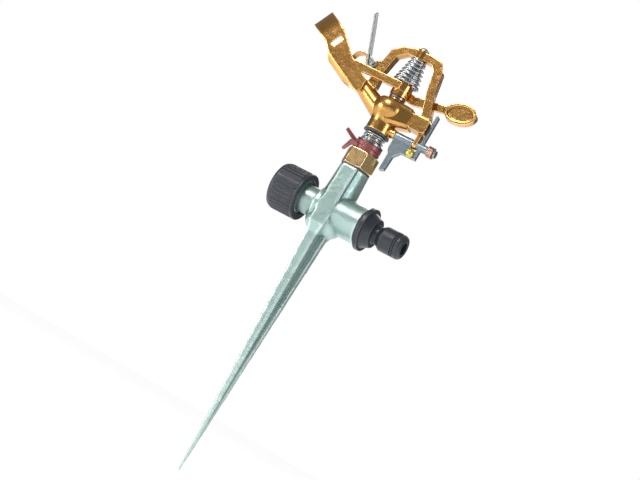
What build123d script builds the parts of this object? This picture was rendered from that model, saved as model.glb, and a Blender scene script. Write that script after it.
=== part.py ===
from build123d import *
import os
from math import atan, cos, degrees, radians, sin, sqrt

# Impulse sprinkler on a metal ground spike
#
# Frame: Z is the swivel axis, z = 0 the ground line on the spike. The hose
# tube runs along X with the hose end at +X, and the nozzle points to -X.
# Heights are taken from the ground line. All lengths are millimetres.

# Fits
running_fit = 0.05          # radial, between a shaft and what turns on it
press_fit = 0.01            # radial, between pieces driven or screwed together
face_gap = 0.3              # between faces of pieces that move past each other

# Hose tube
tube_z = 40.0
tube_r = 13.7
tube_left_x = -11.0
tube_right_x = 27.0
neck_r = 10.5
neck_end_x = -24.0
outlet_thread_r = 13.0
outlet_end_x = -40.5
water_bore_r = 7.0

# Column and spike
column_top_z = 73.5
column_top_r = 11.2
column_waist_r = 12.8
column_waist_z = 36.0
column_foot_z = 21.0
column_foot_r = 6.5
rib_width = 12.0
rib_depth = 14.5
rib_top_depth = 12.3
spike_top_z = 27.0
spike_tip_z = -169.0
blade_width = 8.6
blade_depth = 12.6
fin_reach = 7.9
fin_thickness = 4.6
tip_size = 1.8
root_flare = 7.0

# Hose adapter with its snap-in nose
adapter_shank_r = 10.0
adapter_shank_length = 12.0
adapter_washer_thickness = 1.5
flange_r = 16.0
flange_thickness = 3.4
cone_r = 13.2
cone_end_r = 10.6
cone_length = 6.0
groove_r = 6.8
groove_length = 3.4
nose_r = 9.2
nose_length = 16.5
nose_taper = 3.6
nose_round = 3.2
adapter_bore_r = 4.6
ring_wire_r = 1.15
ring_seat_back = 6.0

# End cap
cap_r = 17.6
cap_mouth_x = -22.0
cap_wall = 2.9
cap_chamfer = 2.6
cap_washer_thickness = 2.0
grip_groove_r = 1.3
grip_groove_count = 20

# Bearing sleeve, screwed into the column
gasket_thickness = 1.1
hex_across_flats = 22.0
hex_height = 12.6
hex_chamfer = 1.3
sleeve_shank_r = 8.0
sleeve_shank_length = 14.0
collar_seat_r = 7.6

# Riser tube, which turns in the sleeve and carries the head
riser_r = 6.0
riser_bore_r = 4.2
riser_flange_r = 7.4
riser_flange_thickness = 2.6
seal_washer_thickness = 1.2
riser_thread_length = 8.0

# Trip collars on the sleeve
collar_height = 3.2
collar_wall = 2.2
prong_thickness = 2.4
prong_width = 3.4
prong_root = 1.5
prong_tip_cut = 1.2
upper_prong_angle = 195.0
upper_prong_r = 20.6
upper_prong_rise = 6.2
lower_prong_angle = 230.0
lower_prong_r = 18.0
lower_prong_drop = 9.0

# Head spring and thrust washers under the head
spring_wire_r = 0.7
spring_turns = 2.5
thrust_washer_thickness = 1.3
thrust_washer_r = 9.9

# Sprinkler body
head_bottom_z = 104.6
hub_r = 9.4
cup_r = 12.2
cup_z = 120.0
cup_top_z = 130.5
hub_height = 6.0
neck_top_r = 8.8
boss_step = 0.4
boss_r = 6.2
boss_top_z = 132.4
jet_angle = 27.0
jet_root_z = 116.7
barrel_root_r = 8.2
barrel_end_r = 5.8
barrel_length = 32.0
waterway_r = 4.0

# Bridge over the arm
bridge_half_thickness = 4.0
bridge_top_z = 171.5
leg_width = 6.0
shoulder_x = 21.2
shoulder_drop = 8.0
knee_x = 24.0
knee_drop = 24.5
front_foot_inset = 4.17
front_foot_z = 133.0
foot_end_x = 32.8
foot_start_x = 19.0
foot_bottom_z = 117.0
foot_top_z = 128.0
foot_half_width = 6.5
foot_round = 2.0
keel_root_x = 2.0
keel_root_half_width = 10.2
keel_root_bottom_z = 111.6
keel_root_top_z = 131.0
keel_half_width = 6.2
keel_bottom_z = 115.6
keel_top_z = 130.6
keel_end_x = 20.0
keel_round = 3.6
hollow_start_x = 16.5
leg_inner_drop = 3.0
leg_root = 1.5
crest_x = 14.0
crest_drop = 2.5
crest_inner_x = 9.0
rear_crest_x = 17.4
rear_crest_drop = 1.2
rear_inner_x = 11.0
top_flat_x = 5.5
bridge_round = 1.6
pin_boss_r = 4.7
pin_boss_rise = 1.1
pin_boss_depth = 6.8

# Nozzle insert
nozzle_collar_r = 5.3
nozzle_collar_length = 3.8
nozzle_shank_length = 11.0
nozzle_shank_r = 4.6
jet_r = 2.1

# Drive arm on its fulcrum pin
pin_r = 2.0
pin_seat_depth = 12.0
pin_head_r = 3.5
pin_head_height = 2.0
bushing_r = 3.5
arm_washer_thickness = 1.3
arm_hub_r = 7.0
arm_hub_height = 10.2
arm_neck_r = 4.8
arm_neck_height = 3.4
bar_bottom_z = 138.4
bar_height = 5.6
bar_thickness = 4.0
bar_end_x = -41.0
bar_slope_x = -14.0
bar_root_drop = 1.6
bar_end_cut = 4.0

# Spoon, jet window and deflector at the front of the arm.
# Their places are given along the jet (s) and square to it (n).
spoon_wall = 1.7
spoon_side = 8.3
spoon_top_n = 4.9
spoon_bottom_n = -10.2
spoon_lip = 4.6
spoon_round = 5.0
spoon_start_s = 20.0
spoon_end_s = 66.0
spoon_back_x = -24.5
spoon_corner = 8.0
spoon_corner_depth = 1.4
spoon_clear = 0.25
trough_cut = 30.0
web_end_s = 74.0
web_start_s = 45.0
web_rise_s = 53.0
web_drop = 2.4
web_rise_n = 6.4
deflector_end_s = 96.5
deflector_top_n = 12.5
deflector_bottom_n = -3.8
deflector_reach = 12.0
window_start_s = 66.2
window_width = 4.6
window_bottom_n = -1.0
window_height = 8.4

# Counterweight at the back of the arm
weight_x = 45.6
weight_z = 144.0
weight_half_length = 12.0
weight_half_height = 7.9
weight_thickness = 6.4
weight_tilt = 14.0
weight_dish = 1.7
weight_rim = 2.2
tail_start_z = 136.9
tail_height = 6.8
tail_end_height = 5.4
tail_bend_x = 10.0
tail_bend_drop = 2.2
tail_end_x = 39.6
tail_end_z = 143.4

# Arm spring
arm_spring_base_r = 9.6
arm_spring_tip_r = 5.2
arm_spring_wire_r = 0.85
arm_spring_turns = 6.0

# Distance flap on the front leg
flap_pivot_x = -29.0
flap_pivot_z = 148.4
lug_r = 3.2
lug_half_width = 1.5
lug_root = 2.0
flap_pin_r = 1.1
flap_lean = 22.0
flap_length = 41.5
flap_width = 8.0
flap_sheet = 1.2
flap_cut = 4.5
flap_ear = 1.0
flap_corner = 1.5
ear_rise = 7.0
ear_edge = 0.4
pin_overhang = 1.0
shield_reach = 13.0
shield_rise = 8.4
shield_sheet = 1.0
shield_crown_part = 0.62
shield_edge = 0.4

# Trip lever on its rod under the head
trip_z = 109.0
rod_r = 1.75
rod_boss_r = 3.5
rod_boss_end_x = 13.2
ear_thickness = 3.0
ear_end_x = 31.4
sleeve_wall = 1.3
lever_half_thickness = 2.2
dog_inner_x = 15.4
dog_outer_x = 19.1
dog_bottom_z = 81.5
dog_top_z = 94.0
yoke_bottom_z = 98.6
yoke_top_z = 104.7
yoke_start_x = 23.5
lever_back_drop = 4.0
tip_cut = 1.2
finger_thickness = 2.2
finger_top_z = 135.0
trip_sleeve_end_x = 39.8
coil_r = 4.4
coil_wire_r = 0.6
coil_turns = 4.0
coil_length = 4.8
rod_head_r = 3.3
rod_head_thickness = 1.4
rod_head_taper = 20.0
trip_screw_r = 3.2
trip_screw_shank_r = 1.5
trip_screw_x = 30.0

# Worked-out places
gasket_top_z = column_top_z + gasket_thickness
hex_top_z = gasket_top_z + hex_height
shank_bottom_z = gasket_top_z - sleeve_shank_length
lower_collar_z = hex_top_z + face_gap
upper_collar_z = lower_collar_z + collar_height + face_gap
seat_top_z = upper_collar_z + collar_height + face_gap
collar_r = collar_seat_r + running_fit + collar_wall
lower_washer_z = head_bottom_z - face_gap - thrust_washer_thickness
spring_bottom_z = seat_top_z + thrust_washer_thickness
hub_top_z = boss_top_z + arm_washer_thickness + 2 * face_gap
adapter_face_x = tube_right_x + adapter_washer_thickness
jet_cos = cos(radians(jet_angle))
jet_sin = sin(radians(jet_angle))
jet_direction = (-jet_cos, 0, jet_sin)
front_foot_x = (barrel_length - front_foot_inset) * jet_cos
shoulder_z = bridge_top_z - shoulder_drop
knee_z = bridge_top_z - knee_drop
pin_boss_top_z = bridge_top_z + pin_boss_rise
pin_boss_bottom_z = bridge_top_z - pin_boss_depth
tube_axis = Axis((0, 0, tube_z), (1, 0, 0))
jet_axis = Axis((0, 0, jet_root_z), jet_direction)
jet_side = Plane(origin=(0, 0, jet_root_z), x_dir=jet_direction, z_dir=(0, 1, 0))


def jet_section(s):
    """The plane square to the jet at the distance s; its x points to -Y."""
    origin = (-s * jet_cos, 0, jet_root_z + s * jet_sin)
    return Plane(origin=origin, x_dir=(0, -1, 0), z_dir=jet_direction)


def radial_plane(angle):
    """The upright plane through the swivel axis at an angle in plan."""
    c = cos(radians(angle))
    s = sin(radians(angle))
    return Plane(origin=(0, 0, 0), x_dir=(c, s, 0), z_dir=(s, -c, 0))


def side_plane(y):
    """The upright plane along X at y; extruding from it goes to -Y."""
    return Plane.XZ.offset(-y)


# Spike casting: cruciform spike, ribbed column and cross tube in one
with BuildPart() as spike_casting:
    with BuildSketch(Plane.XZ):
        with BuildLine():
            foot = Line((0, column_foot_z), (column_foot_r, column_foot_z))
            bulb = TangentArc(foot @ 1, (column_waist_r, column_waist_z), tangent=(1, 0.25))
            side = Line(bulb @ 1, (column_top_r, column_top_z))
            Polyline(side @ 1, (0, column_top_z), foot @ 0)
        make_face()
    revolve(axis=Axis.Z)
    with BuildSketch(Plane.YZ.offset(tube_left_x)):
        with Locations((0, tube_z)):
            Circle(tube_r)
    extrude(amount=tube_right_x - tube_left_x)
    with BuildSketch(Plane.YZ.offset(neck_end_x)):
        with Locations((0, tube_z)):
            Circle(neck_r)
    extrude(amount=-neck_end_x)
    with BuildSketch(Plane.YZ.offset(outlet_end_x)):
        with Locations((0, tube_z)):
            Circle(outlet_thread_r)
    extrude(amount=neck_end_x - outlet_end_x)
    # flat ribs down the front and the back of the column
    with BuildSketch(Plane.XY.offset(spike_top_z)):
        Rectangle(rib_width, 2 * rib_depth)
    with BuildSketch(Plane.XY.offset(column_top_z)):
        Rectangle(rib_width, 2 * rib_top_depth)
    loft()
    # flare from the column's foot into the spike
    with BuildSketch(Plane.XY.offset(spike_top_z)):
        Rectangle(rib_width, 2 * rib_depth)
    with BuildSketch(Plane.XY.offset(spike_top_z - root_flare)):
        Rectangle(blade_width, 2 * blade_depth)
    loft()
    # front and back fins of the spike
    with BuildSketch(Plane.XY.offset(spike_top_z)):
        Rectangle(blade_width, 2 * blade_depth)
    with BuildSketch(Plane.XY.offset(spike_tip_z)):
        Rectangle(tip_size, tip_size)
    loft()
    # side fins of the spike
    with BuildSketch(Plane.XY.offset(spike_top_z)):
        Rectangle(2 * fin_reach, fin_thickness)
    with BuildSketch(Plane.XY.offset(spike_tip_z)):
        Rectangle(tip_size, tip_size)
    loft()
    # waterway: along the tube, up the column, and the two sockets
    with BuildSketch(Plane.YZ.offset(outlet_end_x)):
        with Locations((0, tube_z)):
            Circle(water_bore_r)
    extrude(amount=tube_right_x - outlet_end_x, mode=Mode.SUBTRACT)
    with BuildSketch(Plane.YZ.offset(tube_right_x)):
        with Locations((0, tube_z)):
            Circle(adapter_shank_r + press_fit)
    extrude(amount=-(adapter_shank_length + face_gap), mode=Mode.SUBTRACT)
    with BuildSketch(Plane.XY.offset(tube_z)):
        Circle(sleeve_shank_r + press_fit)
    extrude(amount=column_top_z - tube_z, mode=Mode.SUBTRACT)
spike_casting.part.label = "spike_casting"

# End cap: a cup with a grooved grip over the second outlet
cap_end_x = outlet_end_x - cap_washer_thickness - cap_wall
cap_floor_x = cap_end_x + cap_wall
with BuildPart() as end_cap:
    with BuildSketch(Plane.XZ):
        with BuildLine():
            Polyline(
                (cap_end_x, tube_z),
                (cap_end_x, tube_z + cap_r - cap_chamfer),
                (cap_end_x + cap_chamfer, tube_z + cap_r),
                (cap_mouth_x, tube_z + cap_r),
                (cap_mouth_x, tube_z + outlet_thread_r + press_fit),
                (cap_floor_x, tube_z + outlet_thread_r + press_fit),
                (cap_floor_x, tube_z),
                close=True,
            )
        make_face()
    revolve(axis=tube_axis)
    with BuildSketch(Plane.YZ.offset(cap_end_x)):
        with Locations((0, tube_z)):
            with PolarLocations(cap_r + grip_groove_r / 2, grip_groove_count):
                Circle(grip_groove_r)
    extrude(amount=cap_mouth_x - cap_end_x - cap_wall, mode=Mode.SUBTRACT)
end_cap.part.label = "end_cap"

with BuildPart() as end_cap_washer:
    with BuildSketch(Plane.YZ.offset(cap_floor_x)):
        with Locations((0, tube_z)):
            Circle(outlet_thread_r - press_fit)
            Circle(water_bore_r, mode=Mode.SUBTRACT)
    extrude(amount=cap_washer_thickness)
end_cap_washer.part.label = "end_cap_washer"

# Hose adapter: threaded shank, flange, cone and snap-in nose
flange_x = adapter_face_x + flange_thickness
cone_x = flange_x + cone_length
groove_x = cone_x + groove_length
shoulder_nose_x = groove_x + nose_taper
nose_end_x = shoulder_nose_x + nose_length
ring_x = nose_end_x - ring_seat_back
ring_seat_r = nose_r - 2 * ring_wire_r
with BuildPart() as hose_adapter:
    with BuildSketch(Plane.XZ):
        with BuildLine():
            start_x = tube_right_x - adapter_shank_length
            back = Polyline(
                (start_x, tube_z + adapter_bore_r),
                (start_x, tube_z + adapter_shank_r),
                (adapter_face_x, tube_z + adapter_shank_r),
                (adapter_face_x, tube_z + flange_r),
                (flange_x, tube_z + flange_r),
                (flange_x, tube_z + cone_r),
                (cone_x, tube_z + cone_end_r),
                (cone_x, tube_z + groove_r),
                (groove_x, tube_z + groove_r),
                (shoulder_nose_x, tube_z + nose_r),
                (ring_x - ring_wire_r, tube_z + nose_r),
                (ring_x - ring_wire_r, tube_z + ring_seat_r),
                (ring_x + ring_wire_r, tube_z + ring_seat_r),
                (ring_x + ring_wire_r, tube_z + nose_r),
                (nose_end_x - nose_round, tube_z + nose_r),
            )
            tip = TangentArc(
                back @ 1,
                (nose_end_x, tube_z + nose_r - nose_round),
                tangent=(1, 0),
            )
            Polyline(tip @ 1, (nose_end_x, tube_z + adapter_bore_r), back @ 0)
        make_face()
    revolve(axis=tube_axis)
hose_adapter.part.label = "hose_adapter"

with BuildPart() as adapter_washer:
    with BuildSketch(Plane.YZ.offset(tube_right_x)):
        with Locations((0, tube_z)):
            Circle(tube_r)
            Circle(adapter_shank_r + press_fit, mode=Mode.SUBTRACT)
    extrude(amount=adapter_washer_thickness)
adapter_washer.part.label = "adapter_washer"

with BuildPart() as adapter_ring:
    with BuildSketch(Plane.XZ):
        with Locations((ring_x, tube_z + ring_seat_r + ring_wire_r)):
            Circle(ring_wire_r - press_fit)
    revolve(axis=tube_axis)
adapter_ring.part.label = "adapter_ring"

# Bearing sleeve: hexagon, threaded shank and the seat of the collars
hex_corner_r = hex_across_flats / sqrt(3)
with BuildPart() as bearing_sleeve:
    with BuildSketch(Plane.XY.offset(gasket_top_z)):
        RegularPolygon(hex_across_flats / 2, 6, major_radius=False)
    extrude(amount=hex_height)
    with BuildSketch(Plane.XZ):
        with BuildLine():
            Polyline(
                (0, gasket_top_z),
                (hex_corner_r - hex_chamfer, gasket_top_z),
                (hex_corner_r, gasket_top_z + hex_chamfer * 0.6),
                (hex_corner_r, hex_top_z - hex_chamfer * 0.6),
                (hex_corner_r - hex_chamfer, hex_top_z),
                (0, hex_top_z),
                close=True,
            )
        make_face()
    revolve(axis=Axis.Z, mode=Mode.INTERSECT)
    with BuildSketch(Plane.XY.offset(shank_bottom_z)):
        Circle(sleeve_shank_r)
    extrude(amount=sleeve_shank_length)
    with BuildSketch(Plane.XY.offset(hex_top_z)):
        Circle(collar_seat_r)
    extrude(amount=seat_top_z - hex_top_z)
    with BuildSketch(Plane.XY.offset(shank_bottom_z)):
        Circle(riser_r + running_fit)
    extrude(amount=seat_top_z - shank_bottom_z, mode=Mode.SUBTRACT)
bearing_sleeve.part.label = "bearing_sleeve"

with BuildPart() as sleeve_gasket:
    with BuildSketch(Plane.XY.offset(column_top_z)):
        Circle(column_top_r)
        Circle(sleeve_shank_r + press_fit, mode=Mode.SUBTRACT)
    extrude(amount=gasket_thickness)
sleeve_gasket.part.label = "sleeve_gasket"

# Riser tube with its foot flange under the sleeve
riser_flange_top_z = shank_bottom_z - seal_washer_thickness - face_gap
riser_top_z = head_bottom_z + riser_thread_length
with BuildPart() as riser_tube:
    with BuildSketch(Plane.XZ):
        with BuildLine():
            Polyline(
                (riser_bore_r, riser_flange_top_z - riser_flange_thickness),
                (riser_flange_r, riser_flange_top_z - riser_flange_thickness),
                (riser_flange_r, riser_flange_top_z),
                (riser_r, riser_flange_top_z),
                (riser_r, riser_top_z),
                (riser_bore_r, riser_top_z),
                close=True,
            )
        make_face()
    revolve(axis=Axis.Z)
riser_tube.part.label = "riser_tube"

with BuildPart() as seal_washer:
    with BuildSketch(Plane.XY.offset(riser_flange_top_z)):
        Circle(riser_flange_r)
        Circle(riser_r + press_fit, mode=Mode.SUBTRACT)
    extrude(amount=seal_washer_thickness)
seal_washer.part.label = "seal_washer"

# Trip collars: friction rings, each with one bent prong
lower_prong_tip_z = lower_collar_z - lower_prong_drop + prong_thickness
with BuildPart() as upper_trip_collar:
    with BuildSketch(Plane.XY.offset(upper_collar_z)):
        Circle(collar_r)
    extrude(amount=collar_height)
    with BuildSketch(radial_plane(upper_prong_angle)):
        with BuildLine():
            Polyline(
                (collar_seat_r + collar_wall / 2, upper_collar_z),
                (collar_r + prong_root, upper_collar_z),
                (upper_prong_r, upper_collar_z + upper_prong_rise - prong_thickness / 2),
                (upper_prong_r - prong_tip_cut, upper_collar_z + upper_prong_rise + prong_thickness / 2),
                (collar_r + prong_root / 2, upper_collar_z + collar_height),
                (collar_seat_r + collar_wall / 2, upper_collar_z + collar_height),
                close=True,
            )
        make_face()
    extrude(amount=prong_width / 2, both=True)
    with BuildSketch(Plane.XY.offset(upper_collar_z)):
        Circle(collar_seat_r + running_fit)
    extrude(amount=collar_height, mode=Mode.SUBTRACT)
upper_trip_collar.part.label = "upper_trip_collar"

with BuildPart() as lower_trip_collar:
    with BuildSketch(Plane.XY.offset(lower_collar_z)):
        Circle(collar_r)
    extrude(amount=collar_height)
    with BuildSketch(radial_plane(lower_prong_angle)):
        with BuildLine():
            Polyline(
                (collar_seat_r + collar_wall / 2, lower_collar_z),
                (hex_corner_r + face_gap, lower_collar_z),
                (lower_prong_r - prong_tip_cut, lower_prong_tip_z),
                (lower_prong_r, lower_prong_tip_z + prong_tip_cut),
                (hex_corner_r + prong_thickness, lower_collar_z + collar_height),
                (collar_seat_r + collar_wall / 2, lower_collar_z + collar_height),
                close=True,
            )
        make_face()
    extrude(amount=prong_width / 2, both=True)
    with BuildSketch(Plane.XY.offset(lower_collar_z)):
        Circle(collar_seat_r + running_fit)
    extrude(amount=collar_height, mode=Mode.SUBTRACT)
lower_trip_collar.part.label = "lower_trip_collar"

# Washers and spring that press the head's riser down on its seal
spring_top_z = lower_washer_z - face_gap
head_spring_r = collar_seat_r
with BuildPart() as spring_washer:
    with BuildSketch(Plane.XY.offset(seat_top_z + face_gap / 2)):
        Circle(thrust_washer_r)
        Circle(riser_r + running_fit, mode=Mode.SUBTRACT)
    extrude(amount=thrust_washer_thickness - face_gap)
spring_washer.part.label = "spring_washer"

spring_height = spring_top_z - spring_bottom_z - 2 * spring_wire_r
with BuildPart() as head_spring:
    with BuildLine(Plane.XY.offset(spring_bottom_z + spring_wire_r)):
        coil = Helix(
            pitch=spring_height / spring_turns,
            height=spring_height,
            radius=head_spring_r,
        )
    with BuildSketch(Plane(origin=coil @ 0, z_dir=coil % 0)):
        Circle(spring_wire_r)
    sweep(path=coil, is_frenet=True)
head_spring.part.label = "head_spring"

with BuildPart() as thrust_washer:
    with BuildSketch(Plane.XY.offset(lower_washer_z)):
        Circle(thrust_washer_r)
        Circle(riser_r + press_fit, mode=Mode.SUBTRACT)
    extrude(amount=thrust_washer_thickness)
thrust_washer.part.label = "thrust_washer"

# Sprinkler body: turned hub and cup, jet barrel, web, feet and bridge
with BuildPart() as sprinkler_body:
    with BuildSketch(Plane.XZ):
        with BuildLine():
            hub = Polyline((0, head_bottom_z), (hub_r, head_bottom_z), (hub_r, head_bottom_z + hub_height))
            bowl = Spline(
                hub @ 1,
                (cup_r, cup_z),
                (neck_top_r, cup_top_z),
                tangents=((0, 1), (-1, 0.35)),
            )
            Polyline(
                bowl @ 1,
                (boss_r, cup_top_z + boss_step),
                (boss_r, boss_top_z),
                (0, boss_top_z),
                hub @ 0,
            )
        make_face()
    revolve(axis=Axis.Z)
    with BuildSketch(jet_side):
        with BuildLine():
            Polyline(
                (0, 0),
                (0, barrel_root_r),
                (barrel_length, barrel_end_r),
                (barrel_length, 0),
                close=True,
            )
        make_face()
    revolve(axis=jet_axis)
    # keel: it narrows from the cup out to the rear foot
    with BuildSketch(Plane.YZ.offset(keel_root_x)):
        with Locations((0, (keel_root_bottom_z + keel_root_top_z) / 2)):
            RectangleRounded(
                2 * keel_root_half_width, keel_root_top_z - keel_root_bottom_z, keel_round
            )
    with BuildSketch(Plane.YZ.offset(keel_end_x)):
        with Locations((0, (keel_bottom_z + keel_top_z) / 2)):
            RectangleRounded(2 * keel_half_width, keel_top_z - keel_bottom_z, keel_round)
    loft()
    # hollow behind the keel's top, down to the foot
    with BuildSketch(side_plane(keel_root_half_width)):
        with Locations((hollow_start_x, foot_top_z)):
            Rectangle(keel_end_x, cup_top_z - foot_top_z + leg_width, align=(Align.MIN, Align.MIN))
    extrude(amount=2 * keel_root_half_width, mode=Mode.SUBTRACT)
    with BuildSketch(side_plane(foot_half_width)):
        with Locations(((foot_start_x + foot_end_x) / 2, (foot_bottom_z + foot_top_z) / 2)):
            RectangleRounded(foot_end_x - foot_start_x, foot_top_z - foot_bottom_z, foot_round)
    extrude(amount=2 * foot_half_width)
    # bridge: one arch from the barrel over the fulcrum to the rear foot
    with BuildSketch(side_plane(bridge_half_thickness)) as bridge_sketch:
        with BuildLine():
            Polyline(
                (-front_foot_x, front_foot_z),
                (-knee_x, knee_z),
                (-shoulder_x, shoulder_z),
                (-crest_x, bridge_top_z - crest_drop),
                (-top_flat_x, bridge_top_z),
                (top_flat_x, bridge_top_z),
                (rear_crest_x, bridge_top_z - rear_crest_drop),
                (shoulder_x, shoulder_z),
                (knee_x, knee_z),
                (foot_end_x - 1.0, foot_top_z - 1.0),
                (foot_end_x - 1.0 - leg_width - leg_root, foot_top_z - 1.0),
                (knee_x - leg_width, knee_z - 1.0),
                (shoulder_x - leg_width, shoulder_z - leg_inner_drop),
                (rear_inner_x, bridge_top_z - leg_width),
                (-crest_inner_x, bridge_top_z - leg_width),
                (-shoulder_x + leg_width, shoulder_z - leg_inner_drop),
                (-knee_x + leg_width, knee_z - 1.0),
                (-front_foot_x + leg_width + leg_root, front_foot_z - leg_root),
                close=True,
            )
        make_face()
        arch = bridge_sketch.vertices().filter_by_position(Axis.Y, shoulder_z - leg_width, bridge_top_z)
        fillet(arch, radius=bridge_round)
    extrude(amount=2 * bridge_half_thickness)
    # bosses of the fulcrum pin in the bridge and of the trip rod on the hub
    with BuildSketch(Plane.XY.offset(pin_boss_bottom_z)):
        Circle(pin_boss_r)
    extrude(amount=pin_boss_top_z - pin_boss_bottom_z)
    with BuildSketch(Plane.YZ):
        with Locations((0, trip_z)):
            Circle(rod_boss_r)
    extrude(amount=rod_boss_end_x)
    with BuildSketch(Plane.YZ.offset(ear_end_x - ear_thickness)):
        with Locations((0, trip_z)):
            Circle(rod_boss_r)
        with Locations((0, (trip_z + foot_bottom_z + foot_round) / 2)):
            Rectangle(2 * rod_boss_r, foot_bottom_z + foot_round - trip_z)
    extrude(amount=ear_thickness)
    # lug of the distance flap on the front leg
    with BuildSketch(side_plane(lug_half_width)):
        with BuildLine():
            Polyline(
                (flap_pivot_x, flap_pivot_z + lug_r),
                (-shoulder_x, flap_pivot_z + 2 * lug_r),
                (-knee_x + lug_root, flap_pivot_z - 2 * lug_r),
                (flap_pivot_x, flap_pivot_z - lug_r),
                close=True,
            )
        make_face()
        with Locations((flap_pivot_x, flap_pivot_z)):
            Circle(lug_r)
    extrude(amount=2 * lug_half_width)
    # waterway and bores
    with BuildSketch(Plane.XY.offset(head_bottom_z)):
        Circle(riser_r + press_fit)
    extrude(amount=riser_thread_length + face_gap, mode=Mode.SUBTRACT)
    with BuildSketch(Plane.XY.offset(head_bottom_z)):
        Circle(riser_bore_r)
    extrude(amount=jet_root_z - head_bottom_z, mode=Mode.SUBTRACT)
    with BuildSketch(jet_section(0)):
        Circle(waterway_r)
    extrude(amount=barrel_length, mode=Mode.SUBTRACT)
    with BuildSketch(jet_section(barrel_length - nozzle_shank_length - face_gap)):
        Circle(nozzle_shank_r + press_fit)
    extrude(amount=nozzle_shank_length + 2 * face_gap, mode=Mode.SUBTRACT)
    with BuildSketch(Plane.XY.offset(boss_top_z - pin_seat_depth)):
        Circle(pin_r + press_fit)
    extrude(amount=pin_boss_top_z - boss_top_z + pin_seat_depth + 1.0, mode=Mode.SUBTRACT)
    with BuildSketch(Plane.YZ.offset(hub_r)):
        with Locations((0, trip_z)):
            Circle(rod_r + press_fit)
    extrude(amount=foot_end_x - hub_r, mode=Mode.SUBTRACT)
    with BuildSketch(side_plane(lug_half_width)):
        with Locations((flap_pivot_x, flap_pivot_z)):
            Circle(flap_pin_r + press_fit)
    extrude(amount=2 * lug_half_width, mode=Mode.SUBTRACT)
sprinkler_body.part.label = "sprinkler_body"

# Nozzle insert, screwed into the barrel
with BuildPart() as nozzle:
    with BuildSketch(jet_side):
        with BuildLine():
            Polyline(
                (barrel_length - nozzle_shank_length, waterway_r - 0.4),
                (barrel_length - nozzle_shank_length, nozzle_shank_r),
                (barrel_length, nozzle_shank_r),
                (barrel_length, nozzle_collar_r),
                (barrel_length + nozzle_collar_length - 0.8, nozzle_collar_r),
                (barrel_length + nozzle_collar_length, nozzle_collar_r - 0.8),
                (barrel_length + nozzle_collar_length, jet_r),
                (barrel_length, jet_r),
                close=True,
            )
        make_face()
    revolve(axis=jet_axis)
nozzle.part.label = "nozzle"

# Fulcrum pin with its domed head above the bridge
with BuildPart() as fulcrum_pin:
    with BuildSketch(Plane.XZ):
        with BuildLine():
            Polyline(
                (0, boss_top_z - pin_seat_depth + face_gap),
                (pin_r, boss_top_z - pin_seat_depth + face_gap),
                (pin_r, pin_boss_top_z),
                (pin_head_r, pin_boss_top_z),
                (pin_head_r, pin_boss_top_z + pin_head_height * 0.4),
                (pin_head_r * 0.6, pin_boss_top_z + pin_head_height),
                (0, pin_boss_top_z + pin_head_height),
                close=True,
            )
        make_face()
    revolve(axis=Axis.Z)
fulcrum_pin.part.label = "fulcrum_pin"

with BuildPart() as arm_washer:
    with BuildSketch(Plane.XY.offset(boss_top_z + face_gap)):
        Circle(boss_r)
        Circle(pin_r + running_fit, mode=Mode.SUBTRACT)
    extrude(amount=arm_washer_thickness)
arm_washer.part.label = "arm_washer"

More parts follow.
